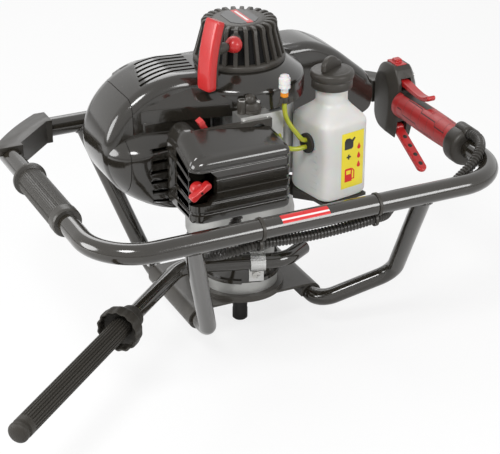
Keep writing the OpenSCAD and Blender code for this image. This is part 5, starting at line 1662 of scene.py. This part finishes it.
@dataclass
class Starter:
    """Ribbed starter housing, rope guide, rope and pull handle."""

    base_z: float = 366.0
    top_z: float = 418.0
    base_r: float = 52.0
    top_r: float = 43.0
    ribs: int = 24
    ball: tuple[float, float, float] = (-32.0, -53.0, 405.0)
    ball_r: float = 10.2
    pull: tuple[float, float] = (-38.0, -10.0)
    reach: float = 36.0
    bow: float = 220.0
    lean: float = 10.0

    @property
    def axis(self) -> Vector:
        """Way that the rope is pulled."""
        return Vector((*self.pull, 0)).normalized()

    def build(self) -> None:
        """Makes every piece of the starter."""
        self.housing()
        self.guide()
        self.rope()
        self.handle()
        paint_node("starter_pulley", HANDLE_BLACK)

    def housing(self) -> None:
        """Turns the core, painted near-black as the shade between the ribs, and the cap, and sets the ribs
        round them.
        """
        z0, z1, r0, r1 = self.base_z, self.top_z, self.base_r, self.top_r
        core = [(r0 - 7, z0), (r0 + 4, z0), (r0 + 4, z0 + 6), (r0 + 3, z0 + 7), (r0 - 1.5, z0 + 8.5),
                (r1 - 1.5, z1 - 9), (r1 - 4, z1 - 6), (r1 - 9, z1 - 3), (r1 - 14, z1 - 1)]
        # The core shows only between the ribs, so its near-black colour is painted shade there.
        made = Workshop.lathe("starter_core", core, steps=96, sharp=30)
        dress(made, PAINTED_SHADE, Body.FRAME, "starter_housing")
        cap = [(r1 - 6, z1 - 6), (r1 - 6.2, z1 - 4), (r1 - 9, z1 - 1.6), (r1 - 13, z1 - 0.4), (r1 - 16, z1),
               (8, z1), (0, z1)]
        dress(Workshop.lathe("starter_top", cap, steps=96, sharp=50), HANDLE_BLACK)
        base = [(r0 + 1, z0 + 0.5), (r0 + 4.1, z0 + 0.5), (r0 + 4.6, z0 + 1.2), (r0 + 4.6, z0 + 6),
                (r0 + 3.6, z0 + 7.4), (r0 + 1, z0 + 8.6)]
        dress(Workshop.lathe("starter_foot", base, steps=96, sharp=50), HANDLE_BLACK)
        side = [(r0 - 4, z0 + 6), (r0 + 3, z0 + 6), (r0 + 3.2, z0 + 9), (r1 + 3.6, z1 - 11),
                (r1 + 3.4, z1 - 4.4), (r1 + 1.6, z1 - 1.6), (r1 - 3, z1 - 0.2), (r1 - 9, z1 - 0.6),
                (r1 - 14, z1 - 2)]
        thick = 5.2
        for i in range(self.ribs):
            a = math.tau * i / self.ribs
            u, v = Vector((math.cos(a), math.sin(a), 0)), Vector((-math.sin(a), math.cos(a), 0))
            outline = [u * r - v * thick / 2 + Vector((0, 0, z)) for r, z in side]
            dress(Workshop.prism(f"starter_rib_{i:02d}", outline, v * thick, 1.1), HANDLE_BLACK)
        shape = [(-18, 16), (-18, -15), (-9, -24), (10, -24), (19, -15), (19, 16), (10, 25), (-9, 25)]
        outline = [Vector((x, y, z1 - 0.5)) for x, y in shape]
        dress(Workshop.prism("starter_badge", outline, Vector((0, 0, 1.1)), 0.4), BADGE)
        dress(Workshop.block("badge_line", (2, -17, z1 + 0.4), (5, 19, z1 + 0.75), 0.1), BADGE_PALE)

    def guide(self) -> None:
        """Turns the red ball nose round the rope and its neck."""
        at, r = Vector(self.ball), self.ball_r
        profile = [(2.7, 2), (2.7, 8.4), (3.2, 8.9)] + arc((0, 0), r, range(66, -91, -6))
        dress(Workshop.lathe("rope_ball", profile, at, self.axis, 48), RED, Body.FRAME, "rope_guide")
        inward = -Vector((at.x, at.y, 0)).normalized()
        neck = [(5.2, 5), (5.2, 14), (7, 16), (7, 22)]
        dress(Workshop.lathe("rope_neck", neck, at, inward, 40), HANDLE_BLACK)

    def rope(self) -> None:
        """Lays three strands into the rope between the ball and the handle."""
        start = Vector(self.ball) + self.axis * 2
        end = Vector(self.ball) + self.axis * (self.reach - 12)
        path = resample([start, end], 0.5)
        core_r, swell, strands, twist = 2.0, 0.22, 3, 0.55

        def radius(i: int, a: float) -> float:
            """Rope's radius at a point along it and an angle round it."""
            return core_r + swell * math.cos(strands * a + i * twist)

        made = Workshop.tube("rope_strands", path, radius, 30, 80)
        made.data.materials.append(ROPE.make())
        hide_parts("starter_rope")
        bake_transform(made)
        LOG.info("piece %s between %s and %s", made.name, Body.FRAME.value, Body.PULL.value)

    def handle(self) -> None:
        """Bends the pull handle: a red outer shell over a black inner grip."""
        at = Vector(self.ball) + self.axis * self.reach
        toward = -self.axis
        across = Vector((0, 0, 1)).cross(toward).normalized()
        lean = Matrix.Rotation(math.radians(self.lean), 3, across)
        count, sides, drop, square = 44, 32, 4, 0.36

        def swell(c: float) -> float:
            """Squares the round section."""
            return math.copysign(abs(c) ** square, c)

        def bar(name: str, out: float, thick: float, wide: float, half: float) -> bpy.types.Object:
            """Sweeps one slightly bowed bar of the handle.

            Args:
                name: Name of the bar.
                out: Its distance from the rope's end, toward the starter.
                thick: Its thickness.
                wide: Its width.
                half: Half of its length.

            Returns:
                The bar.
            """
            rings = []
            for k in range(count + 1):
                t = (2 * k / count - 1) * half / self.bow
                z, x = self.bow * math.sin(t) - drop, out + self.bow * (1 - math.cos(t))
                radial = Vector((-math.cos(t), 0, math.sin(t)))
                end = min(k, count - k)
                fade = 0.9 + 0.1 * math.sqrt(max(0.0, 1 - (1 - min(1, end / 2)) ** 2))
                ring = []
                for m in range(sides):
                    a = math.tau * m / sides
                    local = Vector((x, 0, z)) + radial * swell(math.cos(a)) * thick / 2 * fade
                    local += Vector((0, 1, 0)) * swell(math.sin(a)) * wide / 2 * fade
                    turned = toward * local.x + across * local.y + Vector((0, 0, local.z))
                    ring.append(at + lean @ turned)
                rings.append(ring)
            return Workshop.rings(name, rings, 60)

        dress(bar("pull_shell", -1.5, 12.5, 24, 42), RED, Body.PULL, "starter_handle")
        dress(bar("pull_core", 5.5, 7.5, 18.5, 39), HANDLE_BLACK, Body.PULL)
        collar = [(0, 0), (7, 0), (7.2, 1), (6.8, 8), (6.4, 13), (5.6, 16), (4.6, 17.6), (0, 17.6)]
        dress(Workshop.lathe("pull_collar", collar, at + toward * 8, toward, 36), HANDLE_BLACK, Body.PULL)


@dataclass
class AirFilter:
    """Ribbed filter cover, its knob, back plate, carburettor and choke lever."""

    left: float = -130.0
    width: float = 126.0
    low: float = 229.0
    height: float = 82.0
    front: float = -152.0
    rear: float = -104.0
    wing_rear: float = -75.0
    corner: float = 14.0
    dome: float = 18.0
    floor: float = -139.0
    knob: tuple[float, float] = (-121.0, 273.0)
    crease: float = 48.0

    def build(self) -> None:
        """Makes every piece of the intake."""
        self.cover()
        self.handwheel()
        dress(Workshop.soften("filter_base", 1.0, 2), HANDLE_BLACK)
        dress(Workshop.soften("choke_lever", 1.0, 3), RED, Body.CHOKE)
        dress(Workshop.soften("carburetor", 1.0, 2), ALLOY_FINE)
        paint_node("filter_element", FOAM)
        self.fittings()

    def plan(self, inset: float, side: float) -> list[Point]:
        """Plan of the cover drawn in by one inset in front and another on the left, as (x, y) pairs.

        Args:
            inset: Distance in front and on the right.
            side: Distance on the left.

        Returns:
            Points round the plan.
        """
        x0, x1 = self.left + side, self.left + self.width - inset
        y0, y1 = self.front + inset, self.rear
        r, s = self.corner, self.corner / 2
        left = arc((x0 + r, y0 + r), r, range(180, 271, 6))
        right = arc((x1 - s, y0 + s), s, range(270, 361, 10))
        return [(x0, y1), *left, *right, (x1, y1)]

    def roof(self, x: float, y: float) -> float:
        """Height of the cover's top, which climbs to the dome at its left end.

        Args:
            x: Place from left to right.
            y: Place from front to rear.

        Returns:
            The height.
        """
        flat, slope, climb_x, climb, rise, hump = 8, 40, -88, 20, 6, 12
        back = fraction((y - self.front - flat) / slope)
        left = fraction((climb_x - x) / climb)
        return self.low + self.height + back * (rise + hump * left * left * (3 - 2 * left))

    def levels(self) -> list[tuple[float, float, float]]:
        """Share of the height with the inset of the front and of the left side, grooves included.

        Returns:
            Triples of share, front inset and side inset, from the foot up.
        """
        made = []
        count, foot, ribs, deep, brow = 160, 6, 6, 1.5, 9.0
        for k in range(count + 1):
            v = k / count
            mm = v * self.height
            low = foot - math.sqrt(max(0.0, foot**2 - (foot - mm) ** 2)) if mm < foot else 0.0
            near = min(abs(v - i / ribs) for i in range(1, ribs)) * self.height
            groove = deep * fraction((2.4 - near) / 0.8)
            insets = []
            for r in (brow, self.dome):
                high = max(0.0, mm - self.height + r)
                insets.append(low + groove + (r - math.sqrt(max(0.0, r * r - high * high))))
            made.append((v, insets[0], insets[1]))
        return made

    def cover(self) -> None:
        """Skins the ribbed cover and its left wing and carves the knob's pocket."""
        rings = []
        for v, inset, side in self.levels():
            plan = self.plan(inset, side)
            rings.append([Vector((x, y, self.low + v * (self.roof(x, y) - self.low))) for x, y in plan])
        made = Workshop.rings("filter_shell", rings, self.crease)
        sheets = []
        steps, back, wide = 18, 10, 33
        brow = ((20, 0.1), (23, 0.7), (26, 2.2), (29, 4.8), (31.6, 8.6), (wide, 14))
        for k in range(steps + 1):
            y = self.front + back + (self.wing_rear - self.front - back) * k / steps
            tall = self.roof(self.left, y) - self.low
            sheet = [Vector((self.left + wide, y, self.low + 1))]
            levels = [(side, v * tall + 0.2) for v, _, side in self.levels()]
            sheet += [Vector((self.left + side, y, self.low + level)) for side, level in levels]
            sheet += [Vector((self.left + u, y, self.low + tall - drop)) for u, drop in brow]
            sheets.append(sheet)
        wing = Workshop.rings("filter_wing", sheets, self.crease)
        shape = [(-140, 253), (-108, 253), (-100, 261), (-100, 287), (-108, 295), (-140, 295)]
        outline = [Vector((x, self.front - back, z)) for x, z in shape]
        deep = Vector((0, self.floor - self.front + back, 0))
        for i, body in enumerate((made, wing)):
            carve(body, [Workshop.prism(f"knob_pocket_{i}", outline, deep)], self.crease)
        slot = Workshop.block("wing_slot", (-140, -98, 251), (-118, -83, 291), 1.0)
        carve(wing, [slot], self.crease)
        dress(made, COWL_GLOSS, Body.FRAME, "filter_cover")
        dress(wing, COWL_GLOSS)

    def handwheel(self) -> None:
        """Turns the knob's hub, sets the rounded wing across it and lays a near-black disc in the wing's
        bore as painted shade.
        """
        x, z = self.knob
        hub = [(3, -20), (3, -0.1), (8, 0), (8.5, 0.5), (8.5, 6), (7.6, 8.4), (5, 9.4), (0, 9.6)]
        made = Workshop.lathe("knob_hub", hub, (x, self.floor - 0.3, z), (0, -1, 0), 48)
        dress(made, RED, Body.KNOB, "filter_knob")
        a, reach, tip_r, waist, tall = math.radians(35), 10.6, 4.2, 3, 11
        along, up = Vector((math.cos(a), 0, math.sin(a))), Vector((-math.sin(a), 0, math.cos(a)))
        half = [*arc((reach, 0), tip_r, range(-84, 85, 12)), (waist, waist)]
        middle = Vector((x, self.floor - 6.5, z))
        outline = [middle + along * u * end + up * v * end for end in (1, -1) for u, v in half]
        dress(Workshop.prism("knob_wing", outline, Vector((0, -tall, 0)), 2.0, 4), RED, Body.KNOB)
        # A thin near-black disc at the wing's mouth is painted shade for the bore.
        bore_shade = [(0, 0), (1.6, 0), (1.6, 0.4), (0, 0.4)]
        mouth = middle + Vector((0, 0.1 - tall, 0))
        dress(Workshop.lathe("knob_bore_shade", bore_shade, mouth, (0, -1, 0), 20), PAINTED_SHADE, Body.KNOB)

    def fittings(self) -> None:
        """Adds the carburettor's caps, screws and brass barb."""
        cap = [(0, 0), (10.4, 0), (10.8, 0.6), (10.8, 4), (10.2, 4.5), (10.2, 5.5), (10.8, 6), (10.8, 11),
               (9.8, 13.6), (7, 14.6), (0, 15)]
        dress(Workshop.lathe("throttle_cap", cap, (-24, -86, 329.5)), HANDLE_BLACK)
        dome = [(0, 0), (6.2, 0), (6.5, 0.5), (6.5, 4), (5.6, 7), (3.6, 9), (0, 9.8)]
        dress(Workshop.lathe("throttle_dome", dome, (-27, -87, 344)), HANDLE_BLACK)
        sleeve = [(0, 0), (5.6, 0), (5.9, 0.5), (5.9, 14), (5.2, 16.8), (3, 17.8), (0, 18)]
        dress(Workshop.lathe("post_sleeve", sleeve, (-36, -84, 329.2)), HANDLE_BLACK)
        hex_screw("dome_screw", (-18.5, -90, 343.6), (0, 0, 1), 3.2, 2.4)
        for i, (x, z) in enumerate(((-40, 302), (-40, 324), (-9, 302), (-9, 324))):
            hex_screw(f"carb_screw_{i}", (x, -98.2, z), (0, -1, 0), 2.6, 1.6)
        barb = [(0, 0), (3.4, 0), (3.4, 4), (4.4, 4.4), (4.4, 6), (2.2, 6.4), (2.2, 9), (0, 9)]
        dress(Workshop.lathe("fuel_barb", barb, (12, -79, 302), (1, 0, 0), 24), BRASS)


@dataclass
class FuelSystem:
    """Bottle with its label, cap, bracket, grommet, tubes and vent filter."""

    x: float = 82.0
    y: float = -88.0
    low: float = 208.0
    shoulder: float = 304.0
    neck: float = 330.0
    top: float = 362.0
    half: float = 34.5
    neck_r: float = 19.5
    turn: float = 10.0
    rear_reach: float = 7.0
    vent_x: float = 14.0
    vent_y: float = -96.0
    foot: float = 8.0
    square: float = 5.6
    tube_r: float = 3.0

    def build(self) -> None:
        """Makes every piece of the fuel system."""
        self.bottle()
        self.label()
        self.cap()
        self.tray()
        dress(Workshop.soften("tank_grommet", 0.7, 2), RUBBER)
        self.tubes()
        self.vent()

    def spot(self, u: float, v: float, z: float) -> Vector:
        """Point given along the bottle's own turned axes."""
        c, s = math.cos(math.radians(self.turn)), math.sin(math.radians(self.turn))
        return Vector((self.x + u * c - v * s, self.y + u * s + v * c, z))

    def section(self, z: float, grow: float = 0.0) -> tuple[float, float]:
        """Half width and squareness of the bottle at a height.

        Args:
            z: Height of the section.
            grow: Distance that it stands out from the skin.

        Returns:
            The half width and the power of the rounded square.
        """
        heel, circle = 6, 2.0
        if z <= self.low + self.foot:
            d = (z - self.low) / self.foot
            return self.half - heel * (1 - math.sqrt(max(0.0, 1 - (1 - d) ** 2))) + grow, self.square
        if z <= self.shoulder:
            return self.half + grow, self.square
        if z >= self.neck:
            return self.neck_r + grow, circle
        t = (z - self.shoulder) / (self.neck - self.shoulder)
        ease = t * t * (3 - 2 * t)
        half = self.half + (self.neck_r - self.half) * ease
        return half + grow, self.square - (self.square - circle) * ease

    def ring(self, z: float, turns: Sequence[float], grow: float = 0.0) -> list[Vector]:
        """Points of the bottle's skin at a height.

        Args:
            z: Height of the ring.
            turns: Angles of its points.
            grow: Distance from the skin.

        Returns:
            The ring's points.
        """
        half, n = self.section(z, grow)
        points = []
        for a in turns:
            r = half / (abs(math.cos(a)) ** n + abs(math.sin(a)) ** n) ** (1 / n)
            deep = r * math.sin(a)
            if deep > 0:
                body = max(0.0, (half - self.neck_r) / (self.half - self.neck_r))
                deep *= 1 + self.rear_reach / self.half * body
            points.append(self.spot(r * math.cos(a), deep, z))
        return points

    def bottle(self) -> None:
        """Blows the bottle and raises level marks on its left side."""
        sides, foot_steps, slope_steps, marks = 96, 6, 14, 7
        turns = [math.tau * k / sides for k in range(sides)]
        foot = [self.low + self.foot * k / foot_steps for k in range(foot_steps + 1)]
        rise = self.neck - self.shoulder
        slope = [self.shoulder + rise * k / slope_steps for k in range(slope_steps + 1)]
        levels = [*foot, 240, 270, 300, *slope, self.top]
        made = Workshop.rings("bottle_body", [self.ring(z, turns) for z in levels], 60)
        dress(made, BOTTLE, Body.FRAME, "fuel_bottle")
        out = self.spot(-1, 0, 0) - self.spot(0, 0, 0)
        front, tall = -18, 0.9
        for i in range(marks):
            z = 222 + i * 9
            end = front + (12 if i % 2 == 0 else 7)
            shape = ((front, 0), (front, tall), (end, tall), (end, 0))
            corners = [self.spot(-self.half + 0.4, v, z + h) for v, h in shape]
            dress(Workshop.prism(f"level_mark_{i}", corners, out * 0.8, 0.2), BOTTLE)

    def tray(self) -> None:
        """Trims the tray's rim back under the bottle, so that the bottle stands clear of it."""
        made = Workshop.soften("tank_bracket", 1.0, 2)
        near, far, level, tall = 32, 48, self.low - 4.3, 30
        cutters = []
        for i in range(4):
            c, s = math.cos(math.radians(90 * i)), math.sin(math.radians(90 * i))
            corners = ((near, -far), (far, -far), (far, far), (near, far))
            outline = [self.spot(u * c - v * s, u * s + v * c, level) for u, v in corners]
            cutters.append(Workshop.prism(f"rim_cut_{i}", outline, Vector((0, 0, tall))))
        carve(made, cutters)
        dress(made, HANDLE_BLACK)

    def label(self) -> None:
        """Lays a yellow label with a can, a plus, a pump and drops on the bottle's front."""
        first, sweep, steps = -106, 52, 24
        turns = [math.radians(first + sweep * k / steps) for k in range(steps + 1)]
        rows = [self.ring(z, turns, 0.25) for z in (223, 247, 271, 296)]
        dress(Workshop.sheet("bottle_label", rows), LABEL)
        can = [(-6, -6), (4, -6), (6, -4), (6, 2), (9, 6), (7.4, 7.4), (4, 4.6), (1, 7), (-4, 7), (-6, 4)]
        plus = [(1, 1), (1, 3), (-1, 3), (-1, 1), (-3, 1), (-3, -1), (-1, -1), (-1, -3), (1, -3), (1, -1),
                (3, -1), (3, 1)]
        pump = [(-5, -8), (5, -8), (5, 7), (4, 8), (-4, 8), (-5, 7)]
        pane = [(-3, 1), (3, 1), (3, 5.5), (-3, 5.5)]
        hose = [(5, -6), (8.6, -6), (8.6, 4), (5.6, 7.4), (4.8, 6.4), (7.2, 3.6), (7.2, -4.6), (5, -4.6)]
        drop = [(0, 4.4), (1.6, 1.2), (2.3, -0.8), (1.7, -2.6), (0, -3.4), (-1.7, -2.6), (-2.3, -0.8),
                (-1.6, 1.2)]
        self.mark("label_can", can, (1, 281), 0.0, INK_BLACK)
        self.mark("label_plus", plus, (1, 264), 0.0, INK_BLACK)
        self.mark("label_pump", pump, (1, 240), 0.0, INK_RED)
        self.mark("label_pane", pane, (1, 240), 0.25, LABEL)
        self.mark("label_hose", hose, (1, 240), 0.0, INK_RED)
        for i in range(3):
            self.mark(f"label_drop_{i}", drop, (16.5, 251 + 12 * i), 0.0, INK_RED)

    def mark(self, name: str, outline: Sequence[Point], at: Point, lift: float, finish: Finish) -> None:
        """Prints one pictogram on the label.

        Args:
            name: Name of the pictogram.
            outline: Its outline as (right, up) pairs.
            at: Its place along the front and its height.
            lift: Distance that it lies over the first layer of ink.
            finish: Ink.
        """
        deep, scale, thick = -self.half - 0.12 - lift, 1.1, 0.3
        points = [self.spot(at[0] + u * scale, deep, at[1] + v * scale) for u, v in outline]
        out = self.spot(0, -1, 0) - self.spot(0, 0, 0)
        dress(Workshop.prism(name, points, out * thick), finish)

    def cap(self) -> None:
        """Turns the screw cap with its brim and raises its finger wing."""
        top = self.top
        rim = [(20, -16), (24.5, -16), (25, -15.4), (25, -6.6), (24.6, -5.8), (25, -5), (25.8, -4),
               (26.5, -2.8), (26.7, -1.4), (26.7, 2.2), (26.2, 3.6), (24.8, 5), (22.4, 5.8), (21.6, 5.6),
               (20.6, 6), (14, 7.1), (6, 7.6), (0, 7.6)]
        profile = [(r, top + h) for r, h in rim]
        made = Workshop.lathe("cap_brim", profile, (self.x, self.y, 0), steps=96, sharp=50)
        dress(made, HANDLE_BLACK, Body.CAP, "fuel_cap")
        a, thick, crown = math.radians(28), 6.8, 17.6
        along, across = Vector((math.cos(a), math.sin(a), 0)), Vector((-math.sin(a), math.cos(a), 0))
        hump = arc((-6, 0), crown, range(145, 34, -10))
        side = [(-20.6, 0), (-20.6, 9), *hump, (11, 9), (14.6, 8), (16.4, 5), (16.6, 0)]
        middle = Vector((self.x, self.y, top + 6))
        outline = [middle + along * u - across * thick / 2 + Vector((0, 0, v)) for u, v in side]
        dress(Workshop.prism("cap_wing", outline, across * thick, 2.4, 5), HANDLE_BLACK, Body.CAP)

    def tubes(self) -> None:
        """Runs both fuel tubes out of the grommet on smooth curves."""
        vx, vy = self.vent_x, self.vent_y
        high = [(52, -93.3, 284.5), (44, -94.7, 284.6), (37.6, -95.6, 287.5), (30, -96, 297.5),
                (21.5, -96, 309.5), (15.8, -96, 322), (vx, vy, 336), (vx, vy, 352)]
        low = [(52, -93.3, 275.5), (42, -95, 275.4), (30, -95.6, 275.6), (20, -93, 278), (14.6, -87, 285),
               (14, -81, 294), (15.4, -79, 299.6), (18.9, -79, 302)]
        runs = [resample(Workshop.spline(points, 12), 1.2) for points in (high, low)]
        dress(Workshop.tube("vent_tube", runs[0], self.tube_r, 20, 60), FUEL_TUBE, Body.FRAME, "fuel_lines")
        dress(Workshop.tube("feed_tube", runs[1], self.tube_r, 20, 60), FUEL_TUBE)

    def vent(self) -> None:
        """Turns the white vent filter with its orange fitting and the black wing clip under it."""
        at = (self.vent_x, self.vent_y, 0)
        body = [(0, 352.1), (4.3, 352.1), (4.5, 352.6), (4.5, 357), (6.2, 357.4), (7, 358), (7, 361),
                (6.5, 361.4), (6.5, 363), (7, 363.4), (7, 370), (6.2, 371), (5.4, 371.2), (5.4, 373.6),
                (4.8, 374), (0, 374)]
        dress(Workshop.lathe("vent_body", body, at, steps=40), VENT_WHITE, Body.FRAME, "vent_filter")
        fitting = [(3.2, 346.8), (4.4, 346.8), (4.8, 347.4), (4.8, 349), (4.2, 349.4), (4.2, 350.2),
                   (4.8, 350.6), (4.8, 351.8), (3.2, 352)]
        dress(Workshop.lathe("vent_fitting", fitting, at, steps=32), ORANGE)
        clip = [(3.2, 339.6), (5, 339.6), (5.4, 340.2), (5.4, 345.6), (5, 346.4), (3.2, 346.4)]
        dress(Workshop.lathe("vent_clip", clip, at, steps=32), HANDLE_BLACK)
        shape = ((4, 340.4), (8, 339.6), (9.2, 341), (9.2, 345.4), (8, 346.6), (4, 345.6))
        for i, side in enumerate((-1, 1)):
            wing = [Vector((self.vent_x + side * u, self.vent_y - 4.6, z)) for u, z in shape]
            dress(Workshop.prism(f"vent_wing_{i}", wing, Vector((0, 2.2, 0)), 0.7), HANDLE_BLACK)


def main() -> None:
    """Builds the studio and every sub-assembly in order."""
    logging.basicConfig(level=logging.INFO, format="%(message)s")
    parts = (Studio, CarryingFrame, ThrottleHandle, SupportArm, GearCase, Engine, Starter, AirFilter,
             FuelSystem)
    for part in parts:
        LOG.info("building %s", part.__name__)
        part().build()


if __name__ == "__main__":
    main()
